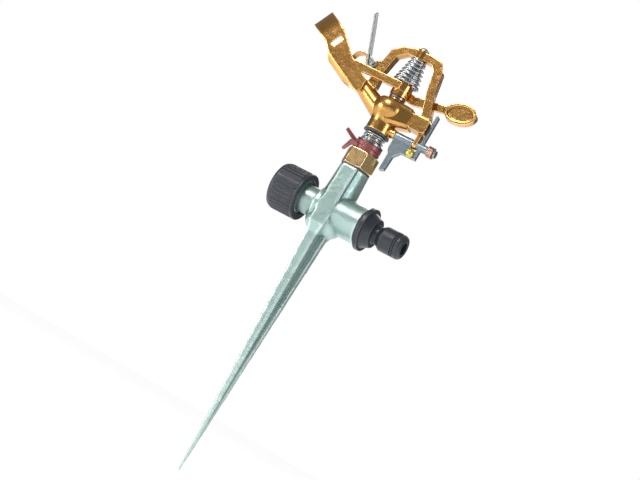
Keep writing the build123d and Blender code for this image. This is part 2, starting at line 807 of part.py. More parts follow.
# Drive arm: hub, bar, spoon, jet window, deflector and counterweight
bar_inner_y = bridge_half_thickness + face_gap
bar_top_z = bar_bottom_z + bar_height
with BuildPart() as drive_arm:
    with BuildSketch(Plane.XY.offset(hub_top_z)):
        Circle(arm_hub_r)
    extrude(amount=arm_hub_height)
    with BuildSketch(Plane.XY.offset(hub_top_z + arm_hub_height)):
        Circle(arm_neck_r)
    extrude(amount=arm_neck_height)
    # front bar, on the near side of the front leg
    with BuildSketch(side_plane(-bar_inner_y)):
        with BuildLine():
            Polyline(
                (0, bar_bottom_z - bar_root_drop),
                (0, bar_top_z),
                (bar_end_x, bar_top_z),
                (bar_end_x + bar_end_cut, bar_bottom_z),
                (bar_slope_x, bar_bottom_z),
                close=True,
            )
        make_face()
    extrude(amount=bar_thickness)
    # spoon: a trough along the jet, open above and on the far side
    with BuildSketch(jet_section(spoon_start_s)):
        side_in = spoon_side - spoon_wall
        bottom_in = spoon_bottom_n + spoon_wall
        bend_x = spoon_side - spoon_round
        bend_n = spoon_bottom_n + spoon_round
        with BuildLine():
            Line((spoon_side, spoon_top_n), (spoon_side, bend_n))
            CenterArc((bend_x, bend_n), spoon_round, 0, -90)
            Polyline(
                (bend_x, spoon_bottom_n),
                (-spoon_lip, spoon_bottom_n),
                (-spoon_lip, bottom_in),
                (bend_x, bottom_in),
            )
            CenterArc((bend_x, bend_n), spoon_round - spoon_wall, -90, 90)
            Polyline((side_in, bend_n), (side_in, spoon_top_n), (spoon_side, spoon_top_n))
        make_face()
    extrude(amount=spoon_end_s - spoon_start_s)
    # web that carries the deflector on past the window
    with BuildSketch(jet_side.offset(-spoon_side)):
        with BuildLine():
            Polyline(
                (web_start_s, spoon_top_n),
                (web_rise_s, web_rise_n),
                (web_end_s, deflector_top_n),
                (web_end_s, deflector_bottom_n),
                (spoon_end_s, deflector_bottom_n - web_drop),
                (web_start_s, deflector_bottom_n - web_drop),
                close=True,
            )
        make_face()
    extrude(amount=spoon_wall)
    # square off the back of the trough and round its front corner
    with BuildSketch(side_plane(2 * spoon_side)):
        with Locations((spoon_back_x, bar_bottom_z - spoon_clear)):
            Rectangle(trough_cut, trough_cut, align=(Align.MIN, Align.MAX))
    extrude(amount=4 * spoon_side, mode=Mode.SUBTRACT)
    with BuildSketch(jet_side.offset(-spoon_side - 1.0)):
        with BuildLine():
            corner = Polyline(
                (spoon_end_s - spoon_corner, spoon_bottom_n - 1.0),
                (spoon_end_s + 1.0, spoon_bottom_n - 1.0),
                (spoon_end_s + 1.0, deflector_bottom_n - web_drop - press_fit),
                (spoon_end_s, deflector_bottom_n - web_drop - press_fit),
            )
            ThreePointArc(
                corner @ 1,
                (spoon_end_s - spoon_corner / 3, spoon_bottom_n + spoon_corner_depth),
                corner @ 0,
            )
        make_face()
    extrude(amount=2 * spoon_side + 2.0, mode=Mode.SUBTRACT)
    # jet window between the spoon and the deflector
    with BuildSketch(jet_side.offset(-spoon_side - 1.0)):
        with Locations((window_start_s + window_width / 2, window_bottom_n + window_height / 2)):
            RectangleRounded(window_width, window_height, 1.2)
    extrude(amount=spoon_wall + 2.0, mode=Mode.SUBTRACT)
    # deflector: a plate curved across the jet
    deflector_plane = Plane(
        origin=jet_side.from_local_coords((0, deflector_bottom_n, 0)),
        x_dir=jet_direction,
        z_dir=(jet_sin, 0, jet_cos),
    )
    with BuildSketch(deflector_plane):
        outer_y = spoon_side
        inner_y = spoon_side - spoon_wall
        with BuildLine():
            root = Line((web_end_s - 1.0, outer_y), (web_end_s, outer_y))
            outer = TangentArc(
                root @ 1,
                (deflector_end_s, outer_y - deflector_reach),
                tangent=(1, 0),
            )
            cap = Line(outer @ 1, (deflector_end_s - spoon_wall, outer_y - deflector_reach - 1.0))
            inner_arc = TangentArc(
                cap @ 1,
                (web_end_s, inner_y),
                tangent=(-1, 0.9),
            )
            Polyline(inner_arc @ 1, (web_end_s - 1.0, inner_y), root @ 0)
        make_face()
    extrude(amount=deflector_top_n - deflector_bottom_n)
    # tail and counterweight, on the far side of the rear leg
    with BuildSketch(side_plane(bar_inner_y + bar_thickness)):
        with BuildLine():
            Polyline(
                (0, tail_start_z),
                (tail_bend_x, tail_start_z - tail_bend_drop),
                (tail_end_x, tail_end_z - tail_end_height / 2),
                (tail_end_x, tail_end_z + tail_end_height / 2),
                (tail_bend_x, tail_start_z - tail_bend_drop + tail_height),
                (0, tail_start_z + tail_height - 1.0),
                close=True,
            )
        make_face()
    extrude(amount=bar_thickness)
    with BuildSketch(side_plane(bar_inner_y + bar_thickness / 2 + weight_thickness / 2)):
        with Locations((weight_x, weight_z)):
            Ellipse(weight_half_length, weight_half_height, rotation=weight_tilt)
    extrude(amount=weight_thickness)
    for face_y, dish in (
        (bar_inner_y + bar_thickness / 2 - weight_thickness / 2, -weight_dish),
        (bar_inner_y + bar_thickness / 2 + weight_thickness / 2, weight_dish),
    ):
        with BuildSketch(side_plane(face_y)):
            with Locations((weight_x, weight_z)):
                Ellipse(
                    weight_half_length - weight_rim,
                    weight_half_height - weight_rim,
                    rotation=weight_tilt,
                )
        extrude(amount=dish, mode=Mode.SUBTRACT)
    with BuildSketch(Plane.XY.offset(hub_top_z)):
        Circle(bushing_r + press_fit)
    extrude(amount=arm_hub_height + arm_neck_height, mode=Mode.SUBTRACT)
drive_arm.part.label = "drive_arm"

with BuildPart() as arm_bushing:
    with BuildSketch(Plane.XY.offset(hub_top_z)):
        Circle(bushing_r)
        Circle(pin_r + running_fit, mode=Mode.SUBTRACT)
    extrude(amount=arm_hub_height + arm_neck_height)
arm_bushing.part.label = "arm_bushing"

# Arm spring: a coil that narrows towards the bridge
arm_spring_bottom_z = hub_top_z + arm_hub_height + arm_spring_wire_r + face_gap
arm_spring_top_z = pin_boss_bottom_z - arm_spring_wire_r - press_fit
arm_spring_height = arm_spring_top_z - arm_spring_bottom_z
arm_spring_cone = degrees(atan((arm_spring_tip_r - arm_spring_base_r) / arm_spring_height))
with BuildPart() as arm_spring:
    with BuildLine(Plane.XY.offset(arm_spring_bottom_z)):
        arm_coil = Helix(
            pitch=arm_spring_height / arm_spring_turns,
            height=arm_spring_height,
            radius=arm_spring_base_r,
            cone_angle=arm_spring_cone,
        )
    with BuildSketch(Plane(origin=arm_coil @ 0, z_dir=arm_coil % 0)):
        Circle(arm_spring_wire_r)
    sweep(path=arm_coil, is_frenet=True)
arm_spring.part.label = "arm_spring"

# Distance flap: a bent sheet that turns on a pin through the lug
lean_sin = sin(radians(flap_lean))
lean_cos = cos(radians(flap_lean))
flap_offset = lug_r + face_gap
flap_back = (
    flap_pivot_x - flap_offset * lean_cos,
    0,
    flap_pivot_z - flap_offset * lean_sin,
)
flap_sheet_plane = Plane(
    origin=flap_back,
    x_dir=(0, -1, 0),
    z_dir=(-lean_cos, 0, -lean_sin),
)


def on_flap(along, out):
    """The (x, z) place at a height along the flap and a distance out from its back."""
    x = flap_back[0] - along * lean_sin - out * lean_cos
    z = flap_back[2] + along * lean_cos - out * lean_sin
    return (x, z)


with BuildPart() as distance_flap:
    with BuildSketch(flap_sheet_plane):
        with BuildLine():
            Polyline(
                (-flap_width / 2, -flap_offset / 2),
                (flap_width / 2, -flap_offset / 2),
                (flap_width / 2, flap_length - flap_cut),
                (-flap_width / 2 + flap_corner, flap_length),
                (-flap_width / 2, flap_length - 1.0),
                close=True,
            )
        make_face()
    extrude(amount=flap_sheet)
    for ear_y in (lug_half_width + face_gap + flap_ear, -lug_half_width - face_gap):
        with BuildSketch(side_plane(ear_y)):
            with Locations((flap_pivot_x, flap_pivot_z)):
                Circle(lug_r - ear_edge)
            with BuildLine():
                Polyline(
                    (flap_pivot_x, flap_pivot_z - lug_r + ear_edge),
                    (flap_pivot_x, flap_pivot_z + lug_r - ear_edge),
                    on_flap(ear_rise, 0),
                    on_flap(-flap_corner, 0),
                    close=True,
                )
            make_face()
            with Locations((flap_pivot_x, flap_pivot_z)):
                Circle(flap_pin_r + running_fit, mode=Mode.SUBTRACT)
        extrude(amount=flap_ear)
distance_flap.part.label = "distance_flap"

flap_pin_half_length = lug_half_width + face_gap + flap_ear + pin_overhang
with BuildPart() as flap_pin:
    with BuildSketch(side_plane(flap_pin_half_length)):
        with Locations((flap_pivot_x, flap_pivot_z)):
            Circle(flap_pin_r)
    extrude(amount=2 * flap_pin_half_length)
flap_pin.part.label = "flap_pin"

# Shield of the flap: the arched tongue that is lowered into the jet
shield_inner = flap_sheet + press_fit
shield_outer = shield_inner + shield_sheet
shield_tip = on_flap(-1.0, shield_reach)
shield_crown = on_flap(shield_rise, shield_reach * shield_crown_part)
with BuildPart() as flap_shield:
    with BuildSketch(side_plane(flap_width / 2 - shield_edge)):
        with BuildLine():
            strap = Polyline(
                on_flap(0, shield_outer),
                on_flap(0, shield_inner),
                on_flap(shield_rise - 1.6 * shield_sheet, shield_inner),
            )
            over = ThreePointArc(strap @ 1, shield_crown, shield_tip)
            tip_line = Line(over @ 1, (shield_tip[0] + shield_sheet, shield_tip[1] + 0.2))
            under = ThreePointArc(
                tip_line @ 1,
                (shield_crown[0] + shield_sheet / 4, shield_crown[1] - shield_sheet),
                on_flap(shield_rise - 2.8 * shield_sheet, shield_outer),
            )
            Line(under @ 1, strap @ 0)
        make_face()
    extrude(amount=flap_width - 2 * shield_edge)
flap_shield.part.label = "flap_shield"

# Trip lever: sleeve on the rod, yoke under the ear, dog and finger
lever_back_x = rod_boss_end_x + face_gap
inner_sleeve_end_x = ear_end_x - ear_thickness - face_gap
outer_sleeve_x = ear_end_x + face_gap
finger_x = foot_end_x + face_gap
sleeve_r = rod_r + running_fit + sleeve_wall
with BuildPart() as trip_lever:
    with BuildSketch(side_plane(lever_half_thickness)):
        with BuildLine():
            Polyline(
                (lever_back_x, trip_z),
                (lever_back_x, dog_top_z + lever_back_drop),
                (dog_inner_x, dog_top_z),
                (dog_inner_x, dog_bottom_z),
                (dog_outer_x, dog_bottom_z + tip_cut),
                (dog_outer_x + tip_cut / 2, dog_top_z),
                (yoke_start_x, yoke_bottom_z),
                (finger_x + finger_thickness, yoke_bottom_z),
                (finger_x + finger_thickness, finger_top_z - tip_cut),
                (finger_x + finger_thickness / 2, finger_top_z),
                (finger_x, finger_top_z - tip_cut),
                (finger_x, yoke_top_z),
                (inner_sleeve_end_x, yoke_top_z),
                (inner_sleeve_end_x, trip_z),
                close=True,
            )
        make_face()
    extrude(amount=2 * lever_half_thickness)
    with BuildSketch(Plane.YZ.offset(lever_back_x)):
        with Locations((0, trip_z)):
            Circle(sleeve_r)
    extrude(amount=inner_sleeve_end_x - lever_back_x)
    with BuildSketch(Plane.YZ.offset(outer_sleeve_x)):
        with Locations((0, trip_z)):
            Circle(sleeve_r)
    extrude(amount=trip_sleeve_end_x - outer_sleeve_x)
    with BuildSketch(Plane.YZ.offset(lever_back_x)):
        with Locations((0, trip_z)):
            Circle(rod_r + running_fit)
    extrude(amount=trip_sleeve_end_x - lever_back_x, mode=Mode.SUBTRACT)
    with BuildSketch(side_plane(lever_half_thickness)):
        with Locations((trip_screw_x, (yoke_bottom_z + yoke_top_z) / 2)):
            Circle(trip_screw_shank_r + press_fit)
    extrude(amount=2 * lever_half_thickness, mode=Mode.SUBTRACT)
trip_lever.part.label = "trip_lever"

# Rod of the trip lever, with its head outside the coil
coil_start_x = trip_sleeve_end_x + face_gap
rod_head_x = coil_start_x + coil_length + face_gap
with BuildPart() as trip_rod:
    with BuildSketch(Plane.YZ.offset(hub_r + face_gap)):
        with Locations((0, trip_z)):
            Circle(rod_r)
    extrude(amount=rod_head_x - hub_r - face_gap)
    with BuildSketch(Plane.YZ.offset(rod_head_x)):
        with Locations((0, trip_z)):
            Circle(rod_head_r)
    extrude(amount=rod_head_thickness, taper=rod_head_taper)
trip_rod.part.label = "trip_rod"

coil_height = coil_length - 2 * coil_wire_r
with BuildPart() as trip_spring:
    with BuildLine():
        trip_coil = Helix(
            pitch=coil_height / coil_turns,
            height=coil_height,
            radius=coil_r - coil_wire_r,
            center=(coil_start_x + coil_wire_r, 0, trip_z),
            direction=(1, 0, 0),
        )
    with BuildSketch(Plane(origin=trip_coil @ 0, z_dir=trip_coil % 0)):
        Circle(coil_wire_r)
    sweep(path=trip_coil, is_frenet=True)
trip_spring.part.label = "trip_spring"

# Round-headed screw through the lever's yoke
trip_screw_z = (yoke_bottom_z + yoke_top_z) / 2
with BuildPart() as trip_screw:
    with BuildSketch(Plane(origin=(trip_screw_x, -lever_half_thickness, trip_screw_z), z_dir=(0, -1, 0))):
        Circle(trip_screw_shank_r)
    extrude(amount=-2 * lever_half_thickness)
    with Locations((trip_screw_x, -lever_half_thickness, trip_screw_z)):
        Sphere(trip_screw_r)
    with Locations((trip_screw_x, trip_screw_r - lever_half_thickness, trip_screw_z)):
        Box(2 * trip_screw_r, 2 * trip_screw_r, 2 * trip_screw_r, mode=Mode.SUBTRACT)
    with BuildSketch(Plane(origin=(trip_screw_x, -lever_half_thickness, trip_screw_z), z_dir=(0, 1, 0))):
        Circle(trip_screw_shank_r)
    extrude(amount=2 * lever_half_thickness)
trip_screw.part.label = "trip_screw"

pieces = [
    spike_casting,
    end_cap,
    end_cap_washer,
    hose_adapter,
    adapter_washer,
    adapter_ring,
    bearing_sleeve,
    sleeve_gasket,
    riser_tube,
    seal_washer,
    upper_trip_collar,
    lower_trip_collar,
    spring_washer,
    head_spring,
    thrust_washer,
    sprinkler_body,
    nozzle,
    fulcrum_pin,
    arm_washer,
    drive_arm,
    arm_bushing,
    arm_spring,
    distance_flap,
    flap_pin,
    flap_shield,
    trip_lever,
    trip_rod,
    trip_spring,
    trip_screw,
]
os.makedirs("parts", exist_ok=True)
for piece in pieces:
    export_step(piece.part, f"parts/{piece.part.label}.step")
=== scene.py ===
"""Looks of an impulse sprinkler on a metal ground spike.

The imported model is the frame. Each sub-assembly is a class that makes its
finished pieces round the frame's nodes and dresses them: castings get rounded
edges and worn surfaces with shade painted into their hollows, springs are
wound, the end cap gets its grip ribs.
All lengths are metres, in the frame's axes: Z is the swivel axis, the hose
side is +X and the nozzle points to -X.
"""

import logging
import math
from dataclasses import dataclass
from enum import Enum

import bmesh
import bpy
import numpy as np
from mathutils import Matrix, Vector


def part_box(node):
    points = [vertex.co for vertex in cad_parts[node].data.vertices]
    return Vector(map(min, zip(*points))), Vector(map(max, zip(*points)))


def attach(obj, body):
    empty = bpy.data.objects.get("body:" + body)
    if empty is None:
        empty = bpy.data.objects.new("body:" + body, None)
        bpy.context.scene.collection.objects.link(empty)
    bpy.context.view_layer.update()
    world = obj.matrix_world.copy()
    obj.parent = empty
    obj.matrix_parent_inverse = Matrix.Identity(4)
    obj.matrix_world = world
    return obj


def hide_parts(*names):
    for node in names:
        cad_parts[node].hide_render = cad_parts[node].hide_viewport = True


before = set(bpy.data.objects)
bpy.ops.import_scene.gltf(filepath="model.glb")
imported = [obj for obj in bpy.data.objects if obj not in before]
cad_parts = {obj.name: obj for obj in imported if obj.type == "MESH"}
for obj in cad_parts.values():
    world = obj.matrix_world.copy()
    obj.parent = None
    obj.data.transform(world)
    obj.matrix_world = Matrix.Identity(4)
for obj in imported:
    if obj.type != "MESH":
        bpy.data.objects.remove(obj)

LOG = logging.getLogger("sprinkler")
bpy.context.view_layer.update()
MM = 0.001
UNIT = (0.0, 1.0)
ROUND_STEPS = 96
QUARTER_TURN = math.radians(90)

Colour = tuple[float, float, float]
Point = tuple[float, float, float]
Pair = tuple[float, float]
Socket = bpy.types.NodeSocket


class Surface(Enum):
    """How a surface was made, which sets the grain of its bump."""

    CAST = "cast"
    TURNED = "turned"
    ROLLED = "rolled"
    MOULDED = "moulded"


class Axis(Enum):
    """The axis that a turned or drawn piece lies along."""

    X = 0
    Y = 1
    Z = 2


class Bench:
    """Adds nodes to a node tree and joins them.

    Args:
        tree: The node tree to work in.

    Attributes:
        mix_factor: Place of a Mix node's factor among its inputs.
        mix_colours: Places of its two colours.
        mix_result: Place of the mixed colour among its outputs.
    """

    mix_factor = 0
    mix_colours = (6, 7)
    mix_result = 2

    def __init__(self, tree: bpy.types.NodeTree) -> None:
        self.tree = tree

    def add(self, kind: str, **settings: str | bool) -> bpy.types.Node:
        """Adds a node and sets its properties.

        Args:
            kind: The node's type name.
            settings: Properties of the node.

        Returns:
            The new node.
        """
        node = self.tree.nodes.new(kind)
        for name, value in settings.items():
            setattr(node, name, value)
        return node

    def join(self, source: Socket, target: Socket) -> None:
        """Links an output to an input."""
        self.tree.links.new(source, target)

    def maths(self, operation: str, *values: float | Socket) -> Socket:
        """Adds a Math node.

        Args:
            operation: The node's operation.
            values: Numbers, or sockets to link, in the order of its inputs.

        Returns:
            The node's output.
        """
        node = self.add("ShaderNodeMath", operation=operation)
        for n, value in enumerate(values):
            if isinstance(value, Socket):
                self.join(value, node.inputs[n])
            else:
                node.inputs[n].default_value = float(value)
        return node.outputs[0]

    def span(self, value: Socket, source: Pair, target: Pair = UNIT) -> Socket:
        """Maps a number from one range to another, clamped.

        Args:
            value: The number.
            source: The range that it comes in.
            target: The range that it leaves in.

        Returns:
            The mapped number.
        """
        node = self.add("ShaderNodeMapRange", clamp=True)
        self.join(value, node.inputs["Value"])
        for side, ends in (("From", source), ("To", target)):
            node.inputs[f"{side} Min"].default_value = ends[0]
            node.inputs[f"{side} Max"].default_value = ends[1]
        return node.outputs["Result"]

    def blend(self, factor: Socket, first: Colour | Socket, second: Colour | Socket) -> Socket:
        """Mixes two colours by a factor.

        Args:
            factor: 0 for the first colour, 1 for the second.
            first: A colour, or a socket.
            second: A colour, or a socket.

        Returns:
            The mixed colour.
        """
        node = self.add("ShaderNodeMix", data_type="RGBA", blend_type="MIX")
        self.join(factor, node.inputs[self.mix_factor])
        for value, place in zip((first, second), self.mix_colours):
            if isinstance(value, Socket):
                self.join(value, node.inputs[place])
            else:
                node.inputs[place].default_value = (*value, 1.0)
        return node.outputs[self.mix_result]

    def bump(
        self,
        height: Socket,
        distance: float,
        strength: float = 1.0,
        under: Socket | None = None,
    ) -> Socket:
        """Adds a Bump node.

        Args:
            height: The height over the surface, from 0 to 1.
            distance: What a height of 1 stands for.
            strength: How much of it shows.
            under: The normal that it is laid over, if not the surface's own.

        Returns:
            The bumped normal.
        """
        node = self.add("ShaderNodeBump")
        node.inputs["Strength"].default_value = strength
        node.inputs["Distance"].default_value = distance
        self.join(height, node.inputs["Height"])
        if under is not None:
            self.join(under, node.inputs["Normal"])
        return node.outputs["Normal"]


@dataclass(frozen=True)
class WearAndShade:
    """How stain, painted shade in hollows and rubbed edges come in, alike on every finish.

    Attributes:
        patch_detail: Detail of the noise that sets the stain's patches.
        blotch_scale: Scale of the wide blotches against the patches.
        blotch_detail: Detail of their noise.
        blotch_band: Values of that noise between which a blotch comes in.
        blotch_share: How much of the rubbed colour a blotch shows.
        stain_band: Values of the patches' noise between which the stain comes in.
        hollow_tarnish_and_shade_band: Relief between which values a hollow gets its stain.
        hollow_tarnish_and_shade_share: How much stain it holds.
        edge_band: Relief between which values an edge gets rubbed.
        edge_share: How much of the rubbed colour it shows.
        dull_band: Values of the patches' noise between which the gloss goes.
        noise_roughness: Roughness of every noise.
    """

    patch_detail: float = 6.0
    blotch_scale: float = 0.35
    blotch_detail: float = 3.0
    blotch_band: Pair = (0.35, 0.65)
    blotch_share: float = 0.28
    stain_band: Pair = (0.42, 0.72)
    # hollow_tarnish_and_shade_band: Relief between which values a hollow gets the stain colour, partly tarnish and partly painted shade.         hollow_tarnish_and_shade_share: How much of that colour a hollow holds.
    hollow_tarnish_and_shade_band: Pair = (0.05, 0.9)
    hollow_tarnish_and_shade_share: float = 0.9
    edge_band: Pair = (-0.12, -0.75)
    edge_share: float = 0.85
    dull_band: Pair = (0.3, 0.75)
    noise_roughness: float = 0.6


@dataclass(frozen=True)
class Grain:
    """How the fine grain lies on a surface, alike on every finish.

    Attributes:
        detail: Detail of the grain's noise.
        ring_stretch: Scale of the noise round a turned piece against along it.
        line_stretch: Scale of the noise along a rolled piece against across it.
        wave_scale: Scale of a casting's waves against its grain.
        wave_detail: Detail of their noise.
        wave_height: Their height against the grain's.
        seam_strength: How much of a parting line shows.
        seam_height: Its height against its half width.
    """

    detail: float = 3.0
    ring_stretch: float = 0.03
    line_stretch: float = 0.04
    wave_scale: float = 0.16
    wave_detail: float = 2.0
    wave_height: float = 5.0
    seam_strength: float = 0.7
    seam_height: float = 0.4


WEAR_AND_SHADE = WearAndShade()
GRAIN = Grain()


@dataclass(frozen=True)
class Finish:
    """One finish of the sprinkler, made as a procedural material.

    Attributes:
        name: The material's name.
        slot: The record's material slot that it stands for; not used.
        base: The clean colour.
        stain: The colour of tarnish, grease or dust in patches and hollows; in hollows it also
            paints the shade that falls there.
        rubbed: The colour of edges that hands and water have cleaned.
        metallic: 1 for bare metal, 0 for paint, plastic or rubber.
        gloss: Roughness where it is cleanest and where it is dullest.
        surface: How it was made.
        patch: Size of the stain's patches.
        grain: Size of the fine grain.
        relief: Height of the grain.
        stain_share: How much of the stain shows in its patches.
        seam: Half width of a mould's parting line on the middle plane, or 0.
    """

    name: str
    slot: str
    base: Colour
    stain: Colour
    rubbed: Colour
    metallic: float
    gloss: Pair
    surface: Surface
    patch: float = 0.012
    grain: float = 0.0008
    relief: float = 0.00004
    stain_share: float = 0.5
    seam: float = 0.0

    def material(self, axis: Axis = Axis.Z) -> bpy.types.Material:
        """Makes the finish as a material, or returns it if it was made before.

        Args:
            axis: The axis that turned rings go round, or drawn lines follow.

        Returns:
            The material.
        """
        name = f"{self.name}_{axis.name.lower()}"
        made = bpy.data.materials.get(name)
        if made:
            return made
        material = bpy.data.materials.new(name)
        material.use_nodes = True
        material.node_tree.nodes.clear()
        self._wire(Bench(material.node_tree), axis)
        return material

    def _wire(self, bench: Bench, axis: Axis) -> None:
        """Builds the node tree of the material."""
        place = bench.add("ShaderNodeTexCoord").outputs["Object"]
        patches = self._noise(bench, place, 1 / self.patch, WEAR_AND_SHADE.patch_detail)
        blotches = self._noise(bench, place, WEAR_AND_SHADE.blotch_scale / self.patch, WEAR_AND_SHADE.blotch_detail)
        relief = bench.add("ShaderNodeAttribute", attribute_name="relief").outputs["Fac"]
        # Hollows take the stain colour: partly tarnish, partly painted shade for the shade that
        # falls into recesses.
        hollow = bench.span(relief, WEAR_AND_SHADE.hollow_tarnish_and_shade_band, (0.0, WEAR_AND_SHADE.hollow_tarnish_and_shade_share))
        edge = bench.span(relief, WEAR_AND_SHADE.edge_band, (0.0, WEAR_AND_SHADE.edge_share))
        tarnish_and_shade = bench.span(patches, WEAR_AND_SHADE.stain_band, (0.0, self.stain_share))
        # Patches of tarnish and the painted shade in hollows join into one mask.
        tarnish_and_shade = bench.maths("MAXIMUM", tarnish_and_shade, hollow)
        blotched = bench.span(blotches, WEAR_AND_SHADE.blotch_band, (0.0, WEAR_AND_SHADE.blotch_share))
        colour = bench.blend(blotched, self.base, self.rubbed)
        colour = bench.blend(tarnish_and_shade, colour, self.stain)
        colour = bench.blend(edge, colour, self.rubbed)
        dull = bench.maths("MAXIMUM", bench.span(patches, WEAR_AND_SHADE.dull_band), hollow)
        shader = bench.add("ShaderNodeBsdfPrincipled")
        shader.inputs["Metallic"].default_value = self.metallic
        bench.join(colour, shader.inputs["Base Color"])
        bench.join(bench.span(dull, UNIT, self.gloss), shader.inputs["Roughness"])
        bench.join(self._bump(bench, place, axis), shader.inputs["Normal"])
        output = bench.add("ShaderNodeOutputMaterial")
        bench.join(shader.outputs["BSDF"], output.inputs["Surface"])

    @staticmethod
    def _noise(bench: Bench, place: Socket, scale: float, detail: float) -> Socket:
        """Adds a noise texture and returns its value."""
        noise = bench.add("ShaderNodeTexNoise")
        noise.inputs["Scale"].default_value = scale
        noise.inputs["Detail"].default_value = detail
        noise.inputs["Roughness"].default_value = WEAR_AND_SHADE.noise_roughness
        bench.join(place, noise.inputs["Vector"])
        return noise.outputs["Fac"]

    def _bump(self, bench: Bench, place: Socket, axis: Axis) -> Socket:
        """Adds the grain and the parting line, and returns the bumped normal."""
        stretch = [1.0, 1.0, 1.0]
        if self.surface is Surface.TURNED:
            stretch = [GRAIN.ring_stretch] * 3
            stretch[axis.value] = 1.0
        elif self.surface is Surface.ROLLED:
            stretch[axis.value] = GRAIN.line_stretch
        mapping = bench.add("ShaderNodeMapping")
        mapping.inputs["Scale"].default_value = stretch
        bench.join(place, mapping.inputs["Vector"])
        grain = self._noise(bench, mapping.outputs["Vector"], 1 / self.grain, GRAIN.detail)
        normal = bench.bump(grain, self.relief)
        if self.surface is Surface.CAST:
            waves = self._noise(bench, place, GRAIN.wave_scale / self.grain, GRAIN.wave_detail)
            normal = bench.bump(waves, self.relief * GRAIN.wave_height, under=normal)
        if self.seam:
            split = bench.add("ShaderNodeSeparateXYZ")
            bench.join(place, split.inputs["Vector"])
            away = bench.maths("ABSOLUTE", split.outputs["Y"])
            ridge = bench.span(away, (0.0, self.seam), (1.0, 0.0))
            normal = bench.bump(ridge, self.seam * GRAIN.seam_height, GRAIN.seam_strength, normal)
        return normal


BRASS_CAST = Finish(
    name="cast_brass",
    slot="brass",
    base=(0.56, 0.27, 0.072),
    # Olive tarnish in patches; in hollows the same colour is painted shade.
    stain=(0.10, 0.080, 0.014),
    rubbed=(0.95, 0.58, 0.23),
    metallic=1.0,
    gloss=(0.17, 0.34),
    surface=Surface.CAST,
    patch=0.022,
    stain_share=0.62,
    seam=0.00035,
)
BRASS_TURNED = Finish(
    name="turned_brass",
    slot="brass",
    base=(0.85, 0.56, 0.25),
    stain=(0.30, 0.18, 0.07),
    rubbed=(1.0, 0.78, 0.45),
    metallic=1.0,
    gloss=(0.16, 0.36),
    surface=Surface.TURNED,
    grain=0.0005,
    relief=0.00002,
    stain_share=0.35,
)
BRASS_SCREW = Finish(
    name="yellow_brass",
    slot="brass",
    base=(0.72, 0.56, 0.10),
    stain=(0.30, 0.22, 0.04),
    rubbed=(0.95, 0.80, 0.30),
    metallic=1.0,
    gloss=(0.2, 0.4),
    surface=Surface.TURNED,
    stain_share=0.3,
)
ZINC_CAST = Finish(
    name="cast_zinc",
    slot="zinc",
    base=(0.29, 0.41, 0.39),
    stain=(0.15, 0.22, 0.205),
    rubbed=(0.52, 0.65, 0.62),
    metallic=0.75,
    gloss=(0.28, 0.50),
    surface=Surface.CAST,
    patch=0.018,
    relief=0.00005,
    stain_share=0.45,
    seam=0.00045,
)
STEEL = Finish(
    name="zinc_plated_steel",
    slot="steel",
    base=(0.27, 0.29, 0.275),
    stain=(0.12, 0.13, 0.12),
    rubbed=(0.50, 0.53, 0.50),
    metallic=1.0,
    gloss=(0.25, 0.42),
    surface=Surface.ROLLED,
    grain=0.0004,
    relief=0.000015,
    stain_share=0.35,
)
SPRING_STEEL = Finish(
    name="spring_steel",
    slot="steel",
    base=(0.33, 0.36, 0.39),
    stain=(0.12, 0.135, 0.155),
    rubbed=(0.58, 0.61, 0.65),
    metallic=1.0,
    gloss=(0.18, 0.34),
    surface=Surface.MOULDED,
    grain=0.0003,
    relief=0.00001,
    stain_share=0.3,
)
BLACK_PLASTIC = Finish(
    name="black_plastic",
    slot="black_plastic",
    base=(0.011, 0.015, 0.023),
    stain=(0.022, 0.028, 0.036),
    rubbed=(0.035, 0.043, 0.058),
    metallic=0.0,
    gloss=(0.32, 0.50),
    surface=Surface.MOULDED,
    grain=0.0006,
    relief=0.00003,
    stain_share=0.25,
)
RUBBER = Finish(
    name="black_rubber",
    slot="rubber",
    base=(0.018, 0.018, 0.019),
    stain=(0.035, 0.034, 0.033),
    rubbed=(0.040, 0.040, 0.042),
    metallic=0.0,
    gloss=(0.6, 0.8),
    surface=Surface.MOULDED,
    grain=0.0004,
    relief=0.00002,
)
COLLAR_PAINT = Finish(
    name="maroon_collar",
    slot="collar_paint",
    base=(0.24, 0.055, 0.062),
    stain=(0.075, 0.028, 0.028),
    rubbed=(0.46, 0.22, 0.20),
    metallic=0.45,
    gloss=(0.3, 0.5),
    surface=Surface.MOULDED,
    stain_share=0.4,
)
DARK_WASHER = Finish(
    name="dark_washer",
    slot="dark_washer",
    base=(0.050, 0.044, 0.042),
    stain=(0.10, 0.09, 0.08),
    rubbed=(0.12, 0.11, 0.10),
    metallic=0.0,
    gloss=(0.4, 0.6),
    surface=Surface.TURNED,
    stain_share=0.3,
)
GREY_LEVER = Finish(
    name="grey_lever",
    slot="grey_lever",
    base=(0.16, 0.205, 0.235),
    stain=(0.07, 0.085, 0.09),
    rubbed=(0.42, 0.48, 0.51),
    metallic=0.7,
    gloss=(0.26, 0.45),
    surface=Surface.CAST,
    grain=0.0006,
    stain_share=0.45,
)
COPPER_WIRE = Finish(
    name="copper_wire",
    slot="copper_wire",
    base=(0.48, 0.30, 0.25),
    stain=(0.20, 0.12, 0.10),
    rubbed=(0.72, 0.52, 0.45),
    metallic=1.0,
    gloss=(0.22, 0.4),
    surface=Surface.MOULDED,
    grain=0.0003,
    relief=0.00001,
)


@dataclass(frozen=True)
class Gauge:
    """How the relief of a surface is measured.

    Attributes:
        passes: How often the compared surface is smoothed.
        depth: The depth of a hollow that counts as 1.
    """

    passes: int = 24
    depth: float = 0.35 * MM


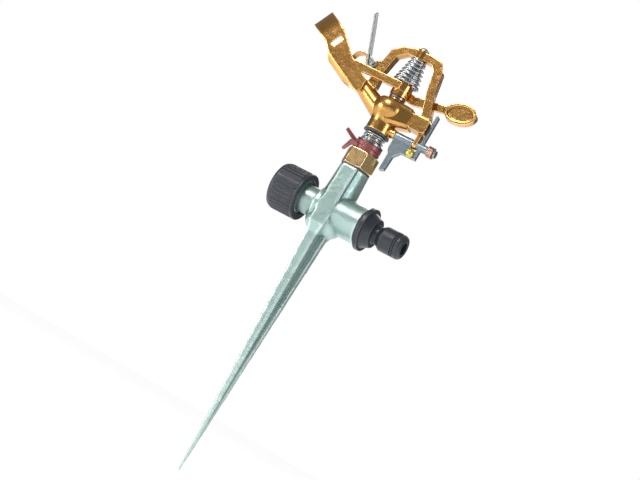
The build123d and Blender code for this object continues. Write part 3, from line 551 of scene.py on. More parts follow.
class Workshop:
    """Turns nodes and built shapes into finished pieces.

    Attributes:
        node_reach: Corners of a CAD node closer than this are one.
        lathe_reach: The same for a turned profile, whose ends meet on the axis.
        draw: How far a corner is drawn to its neighbours at each pass.
    """

    node_reach = 0.002 * MM
    lathe_reach = 0.001 * MM
    draw = 0.5

    @staticmethod
    def link(name: str, mesh: bpy.types.Mesh) -> bpy.types.Object:
        """Makes an object of a mesh in the scene and returns it."""
        piece = bpy.data.objects.new(name, mesh)
        bpy.context.scene.collection.objects.link(piece)
        return piece

    @staticmethod
    def flatten(piece: bpy.types.Object) -> None:
        """Applies the object's modifiers, so that it is a plain mesh."""
        evaluated = piece.evaluated_get(bpy.context.evaluated_depsgraph_get())
        mesh = bpy.data.meshes.new_from_object(evaluated)
        piece.modifiers.clear()
        old = piece.data
        piece.data = mesh
        bpy.data.meshes.remove(old)

    @classmethod
    def merged(cls, node: str) -> bpy.types.Mesh:
        """Copies a node's mesh with its doubled corners merged, and returns the copy."""
        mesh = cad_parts[node].data.copy()
        mesh.materials.clear()
        work = bmesh.new()
        work.from_mesh(mesh)
        bmesh.ops.remove_doubles(work, verts=work.verts, dist=cls.node_reach)
        work.to_mesh(mesh)
        work.free()
        return mesh

    @classmethod
    def soften(
        cls,
        node: str,
        grid: float,
        passes: int,
        inset: float = 0.0,
        cutter: bpy.types.Mesh | None = None,
        suffix: str = "finished",
        gauge: Gauge = Gauge(),
    ) -> bpy.types.Object:
        """Rebuilds a node as an even mesh whose edges are rounded.

        Args:
            node: The CAD node.
            grid: Size of the mesh's faces.
            passes: How often its corners are drawn to their neighbours.
            inset: How far the surface is drawn in, so that it runs clear of its neighbour.
            cutter: A closed mesh that is cut away first.
            suffix: What the node's name is followed by in the object's.
            gauge: How its relief is measured.

        Returns:
            The new object, a plain mesh.
        """
        piece = cls.link(f"{node}_{suffix}", cls.merged(node))
        tool = cls.link(f"{node}_cutter", cutter) if cutter else None
        if tool:
            cut = piece.modifiers.new("cut", "BOOLEAN")
            cut.operation = "DIFFERENCE"
            cut.object = tool
        remesh = piece.modifiers.new("even", "REMESH")
        remesh.mode = "VOXEL"
        remesh.voxel_size = grid
        remesh.use_smooth_shade = True
        smooth = piece.modifiers.new("round", "SMOOTH")
        smooth.factor = cls.draw
        smooth.iterations = passes
        if inset:
            shrink = piece.modifiers.new("inset", "DISPLACE")
            shrink.mid_level = 0.0
            shrink.strength = -inset
        cls.flatten(piece)
        if tool:
            bpy.data.objects.remove(tool)
        cls.shade_smooth(piece.data)
        cls.measure_relief(piece.data, gauge)
        return piece

    @staticmethod
    def prism(name: str, outline: list[Pair], near: float, far: float) -> bpy.types.Mesh:
        """Makes a closed prism along Y.

        Args:
            name: The mesh's name.
            outline: Its corners as X and Z.
            near: Y of its first end.
            far: Y of its other end.

        Returns:
            The mesh.
        """
        work = bmesh.new()
        first = [work.verts.new((x, near, z)) for x, z in outline]
        second = [work.verts.new((x, far, z)) for x, z in outline]
        work.faces.new(first)
        work.faces.new(second)
        for n in range(len(outline)):
            m = (n + 1) % len(outline)
            work.faces.new((first[n], first[m], second[m], second[n]))
        bmesh.ops.recalc_face_normals(work, faces=work.faces)
        mesh = bpy.data.meshes.new(name)
        work.to_mesh(mesh)
        work.free()
        return mesh

    @staticmethod
    def shade_smooth(mesh: bpy.types.Mesh) -> None:
        """Shades every face of a mesh smooth."""
        mesh.polygons.foreach_set("use_smooth", [True] * len(mesh.polygons))
        mesh.update()

    @staticmethod
    def measure_relief(mesh: bpy.types.Mesh, gauge: Gauge) -> None:
        """Writes how deep each corner lies in a hollow, or how far it stands out.

        Args:
            mesh: The mesh; its attribute "relief" is from -1 at edges to 1 in hollows.
            gauge: How it is measured.
        """
        count = len(mesh.vertices)
        places = np.zeros(count * 3)
        mesh.vertices.foreach_get("co", places)
        places = places.reshape(-1, 3)
        ends = np.zeros(len(mesh.edges) * 2, dtype=np.int64)
        mesh.edges.foreach_get("vertices", ends)
        ends = ends.reshape(-1, 2)
        near = np.bincount(ends.ravel(), minlength=count).clip(1)
        smooth = places.copy()
        for _ in range(gauge.passes):
            total = np.zeros_like(smooth)
            for part in range(3):
                total[:, part] = np.bincount(ends[:, 0], smooth[ends[:, 1], part], count)
                total[:, part] += np.bincount(ends[:, 1], smooth[ends[:, 0], part], count)
            smooth = (smooth + total / near[:, None]) / 2
        normals = np.zeros(count * 3)
        mesh.vertex_normals.foreach_get("vector", normals)
        relief = ((smooth - places) * normals.reshape(-1, 3)).sum(axis=1) / gauge.depth
        attribute = mesh.attributes.new("relief", "FLOAT", "POINT")
        attribute.data.foreach_set("value", relief.clip(-1, 1).astype(np.float32))

    @classmethod
    def lathe(
        cls, name: str, profile: list[Pair], axis: Axis, centre: Point
    ) -> bpy.types.Object:
        """Turns a closed profile round an axis.

        Args:
            name: The object's name.
            profile: Pairs of place along the axis and radius.
            axis: The axis it turns round.
            centre: A point on the axis, from which places are counted.

        Returns:
            The turned object.
        """
        work = bmesh.new()
        rings = []
        for step in range(ROUND_STEPS):
            angle = 2 * math.pi * step / ROUND_STEPS
            ring = []
            for along, radius in profile:
                spot = [0.0, 0.0, 0.0]
                spot[axis.value] = along
                spot[(axis.value + 1) % 3] = radius * math.cos(angle)
                spot[(axis.value + 2) % 3] = radius * math.sin(angle)
                ring.append(work.verts.new(Vector(spot) + Vector(centre)))
            rings.append(ring)
        for step in range(ROUND_STEPS):
            first = rings[step]
            second = rings[(step + 1) % ROUND_STEPS]
            for n in range(len(profile)):
                m = (n + 1) % len(profile)
                work.faces.new((first[n], first[m], second[m], second[n]))
        bmesh.ops.remove_doubles(work, verts=work.verts, dist=cls.lathe_reach)
        bmesh.ops.recalc_face_normals(work, faces=work.faces)
        mesh = bpy.data.meshes.new(name)
        work.to_mesh(mesh)
        work.free()
        return cls.link(name, mesh)

    @staticmethod
    def settle(
        piece: bpy.types.Object, body: str, finish: Finish, axis: Axis, *nodes: str
    ) -> None:
        """Dresses a finished piece and ties it to the frame.

        Args:
            piece: The object, a plain mesh at the origin.
            body: The body that it rides on.
            finish: Its finish.
            axis: The axis of the finish's grain.
            nodes: The CAD nodes that it stands for.
        """
        piece.data.materials.clear()
        piece.data.materials.append(finish.material(axis))
        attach(piece, body)
        if nodes:
            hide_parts(*nodes)
        LOG.info("%s: %d faces, rides on %s", piece.name, len(piece.data.polygons), body)

    @classmethod
    def finish_node(
        cls,
        node: str,
        body: str,
        finish: Finish,
        grid: float,
        passes: int = 4,
        axis: Axis = Axis.Z,
        inset: float = 0.0,
    ) -> None:
        """Softens a node, dresses the result and ties it to the frame.

        Args:
            node: The CAD node.
            body: The body that it rides on.
            finish: Its finish.
            grid: Size of the mesh's faces.
            passes: How often its corners are drawn to their neighbours.
            axis: The axis of the finish's grain.
            inset: How far the surface is drawn in.
        """
        cls.settle(cls.soften(node, grid, passes, inset), body, finish, axis, node)

    @staticmethod
    def dress_node(node: str, finish: Finish, axis: Axis = Axis.Z) -> None:
        """Gives a CAD node that stays its finish."""
        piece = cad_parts[node]
        piece.data.materials.clear()
        piece.data.materials.append(finish.material(axis))
        LOG.info("%s: kept, finish %s", node, finish.name)


class GeometryTree:
    """A Geometry Nodes tree with named inputs, built in code.

    Args:
        name: The tree's name.
    """

    def __init__(self, name: str) -> None:
        self.tree = bpy.data.node_groups.new(name, "GeometryNodeTree")
        self.bench = Bench(self.tree)
        self.tree.interface.new_socket(
            "Geometry", in_out="OUTPUT", socket_type="NodeSocketGeometry"
        )
        self.sockets: dict[str, str] = {}
        self.source = self.bench.add("NodeGroupInput")

    def _enter(self, name: str, kind: str, value: float | None = None) -> Socket:
        """Adds an input to the tree.

        Args:
            name: Its name.
            kind: What it takes, as in the name of its socket type.
            value: What it is set to at first, where its kind has such a value.

        Returns:
            Its socket in the tree.
        """
        item = self.tree.interface.new_socket(
            name, in_out="INPUT", socket_type=f"NodeSocket{kind}"
        )
        if value is not None:
            item.default_value = value
        self.sockets[name] = item.identifier
        return self.source.outputs[name]

    def number(self, name: str, value: float) -> Socket:
        """Adds a number input and returns its socket in the tree."""
        return self._enter(name, "Float", value)

    def count(self, name: str, value: int) -> Socket:
        """Adds a whole-number input and returns its socket in the tree."""
        return self._enter(name, "Int", value)

    def finish(self, geometry: Socket) -> None:
        """Ends the tree in Realize Instances, Set Material and the output."""
        material = self._enter("Material", "Material")
        realize = self.bench.add("GeometryNodeRealizeInstances")
        paint = self.bench.add("GeometryNodeSetMaterial")
        output = self.bench.add("NodeGroupOutput")
        self.bench.join(geometry, realize.inputs["Geometry"])
        self.bench.join(realize.outputs["Geometry"], paint.inputs["Geometry"])
        self.bench.join(material, paint.inputs["Material"])
        self.bench.join(paint.outputs["Geometry"], output.inputs["Geometry"])

    def grow(self, name: str, place: Matrix, values: dict[str, object]) -> bpy.types.Object:
        """Runs the tree and returns its result as a plain mesh object.

        Args:
            name: The new object's name.
            place: Where the tree's own frame lies in the object's frame.
            values: The inputs by name.

        Returns:
            The object, with its place in its mesh.
        """
        piece = Workshop.link(name, bpy.data.meshes.new(name))
        modifier = piece.modifiers.new(name, "NODES")
        modifier.node_group = self.tree
        for key, value in values.items():
            modifier[self.sockets[key]] = value
        Workshop.flatten(piece)
        piece.data.transform(place)
        work = bmesh.new()
        work.from_mesh(piece.data)
        bmesh.ops.recalc_face_normals(work, faces=work.faces)
        work.to_mesh(piece.data)
        work.free()
        Workshop.shade_smooth(piece.data)
        return piece


class CoilTree(GeometryTree):
    """Winds a round wire: closed end turns, a cone or a cylinder, both ends capped.

    Attributes:
        wire_sides: Sides of the wire's section.
    """

    wire_sides = 14

    def __init__(self) -> None:
        super().__init__("wound_coil")
        bench = self.bench
        base = self.number("Base Radius", 9 * MM)
        tip = self.number("Tip Radius", 9 * MM)
        turns = self.number("Turns", 6.0)
        height = self.number("Height", 20 * MM)
        wire = self.number("Wire Radius", 0.8 * MM)
        dead = self.number("Closed Turns", 0.8)
        start = self.number("Start Angle", 0.0)
        steps = self.count("Steps", 300)
        line = bench.add("GeometryNodeCurvePrimitiveLine")
        resample = bench.add("GeometryNodeResampleCurve")
        bench.join(line.outputs["Curve"], resample.inputs["Curve"])
        bench.join(steps, resample.inputs["Count"])
        along = bench.add("GeometryNodeSplineParameter").outputs["Factor"]
        closed = bench.maths("DIVIDE", dead, turns)
        rest = bench.maths("SUBTRACT", 1.0, bench.maths("MULTIPLY", closed, 2.0))
        climb = bench.maths("DIVIDE", bench.maths("SUBTRACT", along, closed), rest)
        climb = bench.span(climb, UNIT)
        whole_turn = bench.maths("MULTIPLY", turns, 2 * math.pi)
        angle = bench.maths("ADD", bench.maths("MULTIPLY", along, whole_turn), start)
        growth = bench.maths("MULTIPLY", climb, bench.maths("SUBTRACT", tip, base))
        radius = bench.maths("ADD", base, growth)
        level = bench.maths("MULTIPLY", climb, height)
        spot = bench.add("ShaderNodeCombineXYZ")
        bench.join(bench.maths("MULTIPLY", radius, bench.maths("COSINE", angle)), spot.inputs["X"])
        bench.join(bench.maths("MULTIPLY", radius, bench.maths("SINE", angle)), spot.inputs["Y"])
        bench.join(level, spot.inputs["Z"])
        move = bench.add("GeometryNodeSetPosition")
        bench.join(resample.outputs["Curve"], move.inputs["Geometry"])
        bench.join(spot.outputs["Vector"], move.inputs["Position"])
        ring = bench.add("GeometryNodeCurvePrimitiveCircle")
        ring.inputs["Resolution"].default_value = self.wire_sides
        bench.join(wire, ring.inputs["Radius"])
        sweep = bench.add("GeometryNodeCurveToMesh")
        sweep.inputs["Fill Caps"].default_value = True
        bench.join(move.outputs["Geometry"], sweep.inputs["Curve"])
        bench.join(ring.outputs["Curve"], sweep.inputs["Profile Curve"])
        self.finish(sweep.outputs["Mesh"])


class RibTree(GeometryTree):
    """Sets rounded ribs side by side round an axis, for a hand grip.

    Attributes:
        sides: Sides of a rib's section.
        steps: Points along a rib.
        bluntness: How late a rib tapers towards its ends.
        end_share: Thickness of its very end, as a share of its middle's.
    """

    sides = 12
    steps = 25
    bluntness = 12.0
    end_share = 0.05

    def __init__(self) -> None:
        super().__init__("grip_ribs")
        bench = self.bench
        count = self.count("Count", 24)
        radius = self.number("Radius", 17 * MM)
        thickness = self.number("Rib Radius", 1 * MM)
        length = self.number("Length", 20 * MM)
        circle = bench.add("GeometryNodeMeshCircle")
        bench.join(count, circle.inputs["Vertices"])
        bench.join(radius, circle.inputs["Radius"])
        line = bench.add("GeometryNodeCurvePrimitiveLine")
        top = bench.add("ShaderNodeCombineXYZ")
        bench.join(length, top.inputs["Z"])
        bench.join(top.outputs["Vector"], line.inputs["End"])
        resample = bench.add("GeometryNodeResampleCurve")
        resample.inputs["Count"].default_value = self.steps
        bench.join(line.outputs["Curve"], resample.inputs["Curve"])
        along = bench.add("GeometryNodeSplineParameter").outputs["Factor"]
        offset = bench.maths("SUBTRACT", bench.maths("MULTIPLY", along, 2.0), 1.0)
        taper = bench.maths("POWER", bench.maths("ABSOLUTE", offset), self.bluntness)
        swell = bench.maths("SQRT", bench.maths("SUBTRACT", 1.0, taper))
        ring = bench.add("GeometryNodeCurvePrimitiveCircle")
        ring.inputs["Resolution"].default_value = self.sides
        bench.join(thickness, ring.inputs["Radius"])
        sweep = bench.add("GeometryNodeCurveToMesh")
        sweep.inputs["Fill Caps"].default_value = True
        bench.join(resample.outputs["Curve"], sweep.inputs["Curve"])
        bench.join(ring.outputs["Curve"], sweep.inputs["Profile Curve"])
        bench.join(bench.maths("MAXIMUM", swell, self.end_share), sweep.inputs["Scale"])
        spread = bench.add("GeometryNodeInstanceOnPoints")
        bench.join(circle.outputs["Mesh"], spread.inputs["Points"])
        bench.join(sweep.outputs["Mesh"], spread.inputs["Instance"])
        self.finish(spread.outputs["Instances"])


@dataclass(frozen=True)
class Spring:
    """A wound spring that takes its node's place.

    Attributes:
        node: The CAD node.
        body: The body that it rides on.
        finish: Its finish.
        axis: The axis that it is wound round, X or Z.
        wire_radius: Half thickness of its wire.
        turns: Its turns.
        closed_turns: Turns that lie flat at each end.
        start_angle: Degrees at which its wire starts.
        steps: Points along its wire.
        radii: Middle radius of its first and last turn, or None for the node's own.
    """

    node: str
    body: str
    finish: Finish
    axis: Axis
    wire_radius: float
    turns: float
    closed_turns: float
    start_angle: float
    steps: int
    radii: Pair | None = None

    def wind(self, coils: CoilTree) -> None:
        """Winds the spring from one end of its node to the other.

        Args:
            coils: The tree that winds it.
        """
        low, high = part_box(self.node)
        outer = (high.y - low.y) / 2
        base, tip = self.radii or (outer - self.wire_radius, outer - self.wire_radius)
        if self.axis is Axis.X:
            centre = (low + high) / 2
            length = high.x - low.x
            place = Matrix.Translation((low.x + self.wire_radius, centre.y, centre.z))
            place = place @ Matrix.Rotation(QUARTER_TURN, 4, "Y")
        else:
            length = high.z - low.z
            place = Matrix.Translation((0, 0, low.z + self.wire_radius))
        values = {
            "Base Radius": base,
            "Tip Radius": tip,
            "Turns": self.turns,
            "Height": length - 2 * self.wire_radius,
            "Wire Radius": self.wire_radius,
            "Closed Turns": self.closed_turns,
            "Start Angle": math.radians(self.start_angle),
            "Steps": self.steps,
            "Material": self.finish.material(self.axis),
        }
        wire = coils.grow(f"{self.node}_wound", place, values)
        Workshop.settle(wire, self.body, self.finish, self.axis, self.node)


@dataclass(frozen=True)
class Softbox:
    """A square area light that points at the sprinkler's head.

    Attributes:
        name: Its name.
        place: Where it stands.
        size: Its side.
        watts: Its power.
        tint: Its colour.
    """

    name: str
    place: Point
    size: float
    watts: float
    tint: Colour

    def light(self, aim: Point) -> None:
        """Adds the light to the scene.

        Args:
            aim: What it points at.
        """
        data = bpy.data.lights.new(self.name, "AREA")
        data.size = self.size
        data.energy = self.watts
        data.color = self.tint
        lamp = bpy.data.objects.new(self.name, data)
        bpy.context.scene.collection.objects.link(lamp)
        lamp.location = self.place
        away = Vector(aim) - Vector(self.place)
        lamp.rotation_euler = away.to_track_quat("-Z", "Y").to_euler()


SOFTBOXES = (
    Softbox("key", (-0.55, -1.1, 0.95), size=0.45, watts=11.0, tint=(1.0, 0.98, 0.95)),
    Softbox("side", (1.2, -0.5, 0.35), size=0.4, watts=4.0, tint=(0.93, 0.97, 1.0)),
    Softbox("back", (-0.3, 1.2, 0.8), size=0.7, watts=6.0, tint=(1.0, 1.0, 1.0)),
    Softbox("strip", (-0.75, -0.55, 0.05), size=0.22, watts=3.2, tint=(1.0, 0.99, 0.96)),
)


@dataclass
class Studio:
    """Camera, light and floor.

    Attributes:
        azimuth: Degrees that the camera stands to the right of the front.
        elevation: Degrees that it stands above the middle.
        roll: Degrees that the object leans clockwise in the picture.
        distance: From the target to the camera.
        target_side: Target's place along the picture's level line.
        target_height: Target's height.
        lens: Focal length in millimetres.
        sensor: Width of the sensor in millimetres.
        clip: The nearest and the farthest that the camera sees.
        light_aim: What the lights point at, in the middle of the head.
        room_low: Colour of the surround under the level, as surfaces mirror it.
        room_high: Its colour overhead.
        room_band: Height of a direction at which it changes from one to the other.
        room_strength: How bright surfaces see it.
        backdrop: Colour of the surround as the camera sees it.
        floor_radius: Radius of the floor.
        floor_gap: How far the floor lies under the tip of the spike.
        floor_tone: How pale it is.
        floor_roughness: Its roughness.
        floor_glow: Light of its own, which keeps it as pale as the backdrop.
    """

    azimuth: float = 22.0
    elevation: float = -6.5
    roll: float = 30.5
    distance: float = 1.2
    target_side: float = 0.00364
    target_height: float = 0.0185
    lens: float = 96.2
    sensor: float = 36.0
    clip: Pair = (0.05, 50.0)
    light_aim: Point = (0.0, 0.0, 0.1)
    room_low: Colour = (0.012, 0.016, 0.014)
    room_high: Colour = (0.72, 0.72, 0.72)
    room_band: Pair = (-0.25, 0.7)
    room_strength: float = 0.6
    backdrop: Colour = (1.0, 1.0, 1.0)
    floor_radius: float = 6.0
    floor_gap: float = 0.5 * MM
    floor_tone: float = 0.93
    floor_roughness: float = 0.9
    floor_glow: float = 0.62

    def camera(self) -> None:
        """Sets the camera at the photograph's angle."""
        turn = math.radians(self.azimuth)
        rise = math.radians(self.elevation)
        side = Vector((math.cos(turn), math.sin(turn), 0.0))
        level = math.cos(rise)
        back = Vector((math.sin(turn) * level, -math.cos(turn) * level, math.sin(rise)))
        target = side * self.target_side + Vector((0, 0, self.target_height))
        data = bpy.data.cameras.new("camera")
        data.lens = self.lens
        data.sensor_width = self.sensor
        data.clip_start, data.clip_end = self.clip
        camera = bpy.data.objects.new("camera", data)
        bpy.context.scene.collection.objects.link(camera)
        camera.location = target + back * self.distance
        upright = (-back).to_track_quat("-Z", "Y").to_matrix()
        roll = Matrix.Rotation(math.radians(self.roll), 3, "Z")
        camera.rotation_euler = (upright @ roll).to_euler()
        bpy.context.scene.camera = camera
        LOG.info("camera at %s", tuple(round(x, 3) for x in camera.location))

    def lights(self) -> None:
        """Sets soft studio light and a surround that the camera sees as white."""
        for box in SOFTBOXES:
            box.light(self.light_aim)
        world = bpy.data.worlds.new("surround")
        bpy.context.scene.world = world
        world.use_nodes = True
        world.node_tree.nodes.clear()
        bench = Bench(world.node_tree)
        direction = bench.add("ShaderNodeTexCoord").outputs["Generated"]
        split = bench.add("ShaderNodeSeparateXYZ")
        bench.join(direction, split.inputs["Vector"])
        height = bench.span(split.outputs["Z"], self.room_band)
        room = bench.add("ShaderNodeBackground")
        bench.join(bench.blend(height, self.room_low, self.room_high), room.inputs["Color"])
        room.inputs["Strength"].default_value = self.room_strength
        white = bench.add("ShaderNodeBackground")
        white.inputs["Color"].default_value = (*self.backdrop, 1.0)
        path = bench.add("ShaderNodeLightPath")
        mix = bench.add("ShaderNodeMixShader")
        bench.join(path.outputs["Is Camera Ray"], mix.inputs["Fac"])
        for place, background in enumerate((room, white), start=1):
            bench.join(background.outputs["Background"], mix.inputs[place])
        output = bench.add("ShaderNodeOutputWorld")
        bench.join(mix.outputs["Shader"], output.inputs["Surface"])
        bpy.context.scene.view_settings.view_transform = "Standard"

    def floor(self) -> None:
        """Lays a plain pale floor under the tip of the spike."""
        work = bmesh.new()
        bmesh.ops.create_circle(
            work, cap_ends=True, segments=ROUND_STEPS, radius=self.floor_radius
        )
        mesh = bpy.data.meshes.new("floor")
        work.to_mesh(mesh)
        work.free()
        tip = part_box("spike_casting")[0].z
        mesh.transform(Matrix.Translation((0, 0, tip - self.floor_gap)))
        floor = Workshop.link("floor", mesh)
        material = bpy.data.materials.new("floor_white")
        material.use_nodes = True
        shader = material.node_tree.nodes["Principled BSDF"]
        shader.inputs["Base Color"].default_value = (*[self.floor_tone] * 3, 1.0)
        shader.inputs["Roughness"].default_value = self.floor_roughness
        shader.inputs["Emission Color"].default_value = (*self.backdrop, 1.0)
        shader.inputs["Emission Strength"].default_value = self.floor_glow
        mesh.materials.append(material)


@dataclass
class GroundSpike:
    """Spike casting with its column and cross tube, and the end cap.

    Attributes:
        grid: Mesh size of the casting.
        cap_wall: Wall of the end cap's rim.
        cap_thread: Depth of the thread inside it.
        cap_edge: Round of the cap's rim and width of its groove's sides.
        cap_chamfer: Chamfer at the cap's closed end.
        chamfer_middle: Middle of the chamfer, along and inwards, as shares of it.
        groove: Inner and outer radius of the end's groove, as shares of the cap's.
        groove_side: Slope of the groove's sides, as a share of the cap's radius.
        lip_start: How far from the open end the cap's smooth lip begins.
        lip_shoulder: How far from the open end its shoulder is.
        lip_full: How far from the open end it is full.
        bevel_width: Width of the bevel on every edge of the cap.
        bevel_segments: Steps of that bevel.
        bevel_angle: Degrees from which an edge gets it.
        gauge: How the cap's relief is measured.
        rib_count: Grip ribs round the cap.
        rib_radius: Half thickness of a rib.
        rib_stand: How far a rib stands out of the cup, against its half thickness.
        rib_fit: Share of its half thickness that a rib is built with, to stay inside.
    """

    grid: float = 0.62 * MM
    cap_wall: float = 2.9 * MM
    cap_thread: float = 1.7 * MM
    cap_edge: float = 0.5 * MM
    cap_chamfer: float = 2.4 * MM
    chamfer_middle: Pair = (0.4, 0.3)
    groove: Pair = (0.52, 0.76)
    groove_side: float = 0.02
    lip_start: float = 2.6 * MM
    lip_shoulder: float = 2.2 * MM
    lip_full: float = 1.8 * MM
    bevel_width: float = 0.25 * MM
    bevel_segments: int = 3
    bevel_angle: float = 25.0
    gauge: Gauge = Gauge(passes=6, depth=0.6 * MM)
    rib_count: int = 36
    rib_radius: float = 1.0 * MM
    rib_stand: float = 0.55
    rib_fit: float = 0.98

    def build(self) -> None:
        """Makes and dresses the spike, the cap and its washer."""
        Workshop.finish_node("spike_casting", "base", ZINC_CAST, self.grid, passes=5)
        self.end_cap()
        Workshop.dress_node("end_cap_washer", RUBBER, Axis.X)

    def cup_profile(self, radius: float, length: float, floor: float) -> list[Pair]:
        """Draws half the section of the cup.

        Args:
            radius: Its outer radius.
            length: Its length.
            floor: Thickness of its closed end.

        Returns:
            Pairs of place along its axis and radius, round the section.
        """
        edge = self.cap_edge
        chamfer = self.cap_chamfer
        body = radius - self.rib_stand * self.rib_radius
        bore = radius - self.cap_wall - self.cap_thread
        inner, outer = self.groove
        along, inwards = self.chamfer_middle
        return [
            (0.0, 0.0),
            (0.0, radius * inner),
            (edge, radius * (inner + self.groove_side)),
            (edge, radius * (outer - self.groove_side)),
            (0.0, radius * outer),
            (0.0, body - chamfer),
            (chamfer * along, body - chamfer * inwards),
            (chamfer, body),
            (length - self.lip_start, body),
            (length - self.lip_shoulder, radius - edge),
            (length - self.lip_full, radius),
            (length - edge, radius),
            (length, radius - edge),
            (length, bore + edge),
            (length - edge, bore),
            (floor, bore),
            (floor, 0.0),
        ]

    def end_cap(self) -> None:
        """Makes the cap: a turned cup with a grooved end, and the grip ribs round it."""
        low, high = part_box("end_cap")
        radius = (high.z - low.z) / 2
        length = high.x - low.x
        centre = (low.x, 0.0, (low.z + high.z) / 2)
        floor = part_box("end_cap_washer")[0].x - low.x
        profile = self.cup_profile(radius, length, floor)
        cup = Workshop.lathe("end_cap_cup", profile, Axis.X, centre)
        bevel = cup.modifiers.new("edges", "BEVEL")
        bevel.width = self.bevel_width
        bevel.segments = self.bevel_segments
        bevel.limit_method = "ANGLE"
        bevel.angle_limit = math.radians(self.bevel_angle)
        Workshop.flatten(cup)
        Workshop.shade_smooth(cup.data)
        Workshop.measure_relief(cup.data, self.gauge)
        Workshop.settle(cup, "base", BLACK_PLASTIC, Axis.X, "end_cap")
        place = Matrix.Translation(Vector(centre) + Vector((self.cap_chamfer, 0, 0)))
        values = {
            "Count": self.rib_count,
            "Radius": radius - self.rib_radius,
            "Rib Radius": self.rib_radius * self.rib_fit,
            "Length": length - self.cap_chamfer - self.lip_shoulder,
            "Material": BLACK_PLASTIC.material(Axis.X),
        }
        turn = Matrix.Rotation(QUARTER_TURN, 4, "Y")
        ribs = RibTree().grow("end_cap_ribs", place @ turn, values)
        Workshop.settle(ribs, "base", BLACK_PLASTIC, Axis.X)


@dataclass
class HoseAdapter:
    """Snap-in hose adapter with its washer and sealing ring.

    Attributes:
        grid: Mesh size of the adapter.
    """

    grid: float = 0.34 * MM

    def build(self) -> None:
        """Makes and dresses the adapter and its seals."""
        Workshop.finish_node("hose_adapter", "base", BLACK_PLASTIC, self.grid, axis=Axis.X)
        Workshop.dress_node("adapter_washer", RUBBER, Axis.X)
        Workshop.dress_node("adapter_ring", RUBBER, Axis.X)


@dataclass
class SwivelBearing:
    """Hexagon sleeve, riser, trip collars, washers and the head spring.

    Attributes:
        grid: Mesh size of the turned pieces.
        collar_grid: Mesh size of the collars.
        collar_play: How far the collars' surfaces are drawn in from the sleeve.
        spring: The spring under the head.
    """

    grid: float = 0.27 * MM
    collar_grid: float = 0.22 * MM
    collar_play: float = 0.1 * MM
    spring: Spring = Spring(
        node="head_spring",
        body="base",
        finish=SPRING_STEEL,
        axis=Axis.Z,
        wire_radius=0.7 * MM,
        turns=3.6,
        closed_turns=0.7,
        start_angle=200.0,
        steps=220,
    )

    def build(self, coils: CoilTree) -> None:
        """Makes and dresses the bearing's pieces.

        Args:
            coils: The tree that winds its spring.
        """
        Workshop.finish_node("bearing_sleeve", "base", BRASS_TURNED, self.grid, passes=3)
        for place in ("upper", "lower"):
            Workshop.finish_node(
                f"{place}_trip_collar",
                f"{place}_collar",
                COLLAR_PAINT,
                self.collar_grid,
                passes=3,
                inset=self.collar_play,
            )
        Workshop.dress_node("sleeve_gasket", DARK_WASHER)
        Workshop.dress_node("riser_tube", BRASS_TURNED)
        Workshop.dress_node("seal_washer", RUBBER)
        Workshop.dress_node("spring_washer", STEEL)
        Workshop.dress_node("thrust_washer", DARK_WASHER)
        self.spring.wind(coils)


@dataclass
class SprinklerHead:
    """Cast body with its bridge, the nozzle and the fulcrum pin.

    Attributes:
        grid: Mesh size of the body.
        fine_grid: Mesh size of the nozzle and the pin.
    """

    grid: float = 0.36 * MM
    fine_grid: float = 0.22 * MM

    def build(self) -> None:
        """Makes and dresses the head's pieces."""
        Workshop.finish_node("sprinkler_body", "head", BRASS_CAST, self.grid, passes=5)
        Workshop.finish_node("nozzle", "head", BRASS_TURNED, self.fine_grid, passes=3)
        Workshop.finish_node("fulcrum_pin", "head", STEEL, self.fine_grid, passes=3)
        Workshop.dress_node("arm_washer", STEEL)


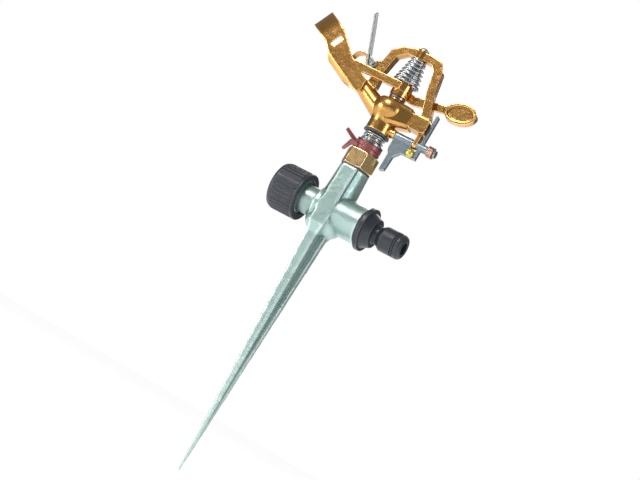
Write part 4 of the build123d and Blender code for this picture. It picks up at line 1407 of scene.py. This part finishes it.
@dataclass
class DriveArm:
    """Drive arm with its bushing and the spring that brings it back.

    Attributes:
        grid: Mesh size of the arm.
        jet_angle: Degrees that the jet rises from level.
        jet_root: Height at which the jet's line meets the swivel axis.
        spoon_trim: What is trimmed off the spoon, as places along the jet and square to it.
        trim_reach: How far to each side the trim goes.
        hub_radius: Radius of the arm's hub.
        foot_height: Height of the hub's foot under the bar.
        foot_edge: Chamfer at the foot's edges.
        foot_crease: Degrees from which an edge of the foot stays sharp.
        spring: The cone-shaped spring under the bridge.
    """

    grid: float = 0.36 * MM
    jet_angle: float = 27.0
    jet_root: float = 116.7 * MM
    spoon_trim: tuple[Pair, ...] = (
        (15 * MM, -15 * MM),
        (15 * MM, 7 * MM),
        (26.5 * MM, 7 * MM),
        (27 * MM, -6.4 * MM),
        (46 * MM, -10.6 * MM),
        (46 * MM, -15 * MM),
    )
    trim_reach: float = 12 * MM
    hub_radius: float = 6.95 * MM
    foot_height: float = 4.4 * MM
    foot_edge: float = 0.4 * MM
    foot_crease: float = 35.0
    spring: Spring = Spring(
        node="arm_spring",
        body="head",
        finish=SPRING_STEEL,
        axis=Axis.Z,
        wire_radius=0.85 * MM,
        turns=7.4,
        closed_turns=0.8,
        start_angle=0.0,
        steps=420,
        radii=(9.3 * MM, 5.3 * MM),
    )

    def build(self, coils: CoilTree) -> None:
        """Makes and dresses the arm, its bushing and its spring.

        Args:
            coils: The tree that winds its spring.
        """
        arm = Workshop.soften("drive_arm", self.grid, passes=4, cutter=self.spoon_cutter())
        Workshop.settle(arm, "arm", BRASS_CAST, Axis.Z, "drive_arm")
        Workshop.dress_node("arm_bushing", DARK_WASHER)
        self.hub_foot()
        self.spring.wind(coils)

    def spoon_cutter(self) -> bpy.types.Mesh:
        """Makes the prism that trims the spoon's end and lower corner at the nozzle."""
        cosine = math.cos(math.radians(self.jet_angle))
        sine = math.sin(math.radians(self.jet_angle))
        corners = []
        for along, off in self.spoon_trim:
            forward = off * sine - along * cosine
            corners.append((forward, self.jet_root + along * sine + off * cosine))
        return Workshop.prism("spoon_trim", corners, -self.trim_reach, self.trim_reach)

    def hub_foot(self) -> None:
        """Closes the hub's foot round the bushing with a turned ring."""
        low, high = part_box("arm_bushing")
        bore = (high.x - low.x) / 2
        edge = self.foot_edge
        profile = [
            (edge, bore),
            (0.0, bore + edge),
            (0.0, self.hub_radius - edge),
            (edge, self.hub_radius),
            (self.foot_height, self.hub_radius),
            (self.foot_height, bore),
        ]
        foot = Workshop.lathe("arm_hub_foot", profile, Axis.Z, (0.0, 0.0, low.z))
        Workshop.shade_smooth(foot.data)
        foot.data.set_sharp_from_angle(angle=math.radians(self.foot_crease))
        Workshop.settle(foot, "arm", BRASS_CAST, Axis.Z)


@dataclass
class DistanceFlap:
    """Bent sheet on the bridge's front leg, with its pin and shield.

    Attributes:
        grid: Mesh size of the sheets.
        pin_grid: Mesh size of the pin.
    """

    grid: float = 0.22 * MM
    pin_grid: float = 0.18 * MM

    def build(self) -> None:
        """Makes and dresses the flap's pieces."""
        Workshop.finish_node("distance_flap", "flap", STEEL, self.grid, passes=3)
        Workshop.finish_node("flap_shield", "flap", BRASS_CAST, self.grid, passes=3)
        Workshop.finish_node("flap_pin", "head", STEEL, self.pin_grid, passes=2, axis=Axis.Y)


@dataclass
class TripMechanism:
    """Trip lever on its rod, with the coil and the screw.

    Attributes:
        grid: Mesh size of the lever.
        rod_grid: Mesh size of the rod.
        screw_grid: Mesh size of the screw.
        gauge: How the screw's relief is measured.
        slot_width: Width of the screw's slot.
        slot_depth: Depth of the screw's slot.
        slot_turn: Degrees that the slot is turned from level.
        spring: The coil on the rod.
    """

    grid: float = 0.26 * MM
    rod_grid: float = 0.2 * MM
    screw_grid: float = 0.16 * MM
    gauge: Gauge = Gauge(passes=16, depth=0.3 * MM)
    slot_width: float = 0.9 * MM
    slot_depth: float = 1.1 * MM
    slot_turn: float = 35.0
    spring: Spring = Spring(
        node="trip_spring",
        body="head",
        finish=COPPER_WIRE,
        axis=Axis.X,
        wire_radius=0.6 * MM,
        turns=4.6,
        closed_turns=0.5,
        start_angle=90.0,
        steps=240,
    )

    def build(self, coils: CoilTree) -> None:
        """Makes and dresses the trip's pieces.

        Args:
            coils: The tree that winds its spring.
        """
        Workshop.finish_node("trip_lever", "trip", GREY_LEVER, self.grid)
        Workshop.finish_node("trip_rod", "head", STEEL, self.rod_grid, passes=3, axis=Axis.X)
        screw = Workshop.soften(
            "trip_screw",
            self.screw_grid,
            passes=3,
            cutter=self.slot_cutter(),
            suffix="slotted",
            gauge=self.gauge,
        )
        Workshop.settle(screw, "trip", BRASS_SCREW, Axis.Y, "trip_screw")
        self.spring.wind(coils)

    def slot_cutter(self) -> bpy.types.Mesh:
        """Makes the block that cuts the slot into the screw's head."""
        low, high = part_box("trip_screw")
        centre = (low + high) / 2
        work = bmesh.new()
        bmesh.ops.create_cube(work, size=1.0)
        mesh = bpy.data.meshes.new("slot_cutter")
        work.to_mesh(mesh)
        work.free()
        size = Matrix.Diagonal((2 * (high.x - low.x), 2 * self.slot_depth, self.slot_width, 1))
        turn = Matrix.Rotation(math.radians(self.slot_turn), 4, "Y")
        mesh.transform(Matrix.Translation((centre.x, low.y, centre.z)) @ turn @ size)
        return mesh


def main() -> None:
    """Builds the studio and the sub-assemblies, from the spike up."""
    logging.basicConfig(level=logging.INFO, format="%(name)s: %(message)s")
    studio = Studio()
    studio.camera()
    studio.lights()
    studio.floor()
    coils = CoilTree()
    GroundSpike().build()
    HoseAdapter().build()
    SwivelBearing().build(coils)
    SprinklerHead().build()
    DriveArm().build(coils)
    DistanceFlap().build()
    TripMechanism().build(coils)


if __name__ == "__main__":
    main()
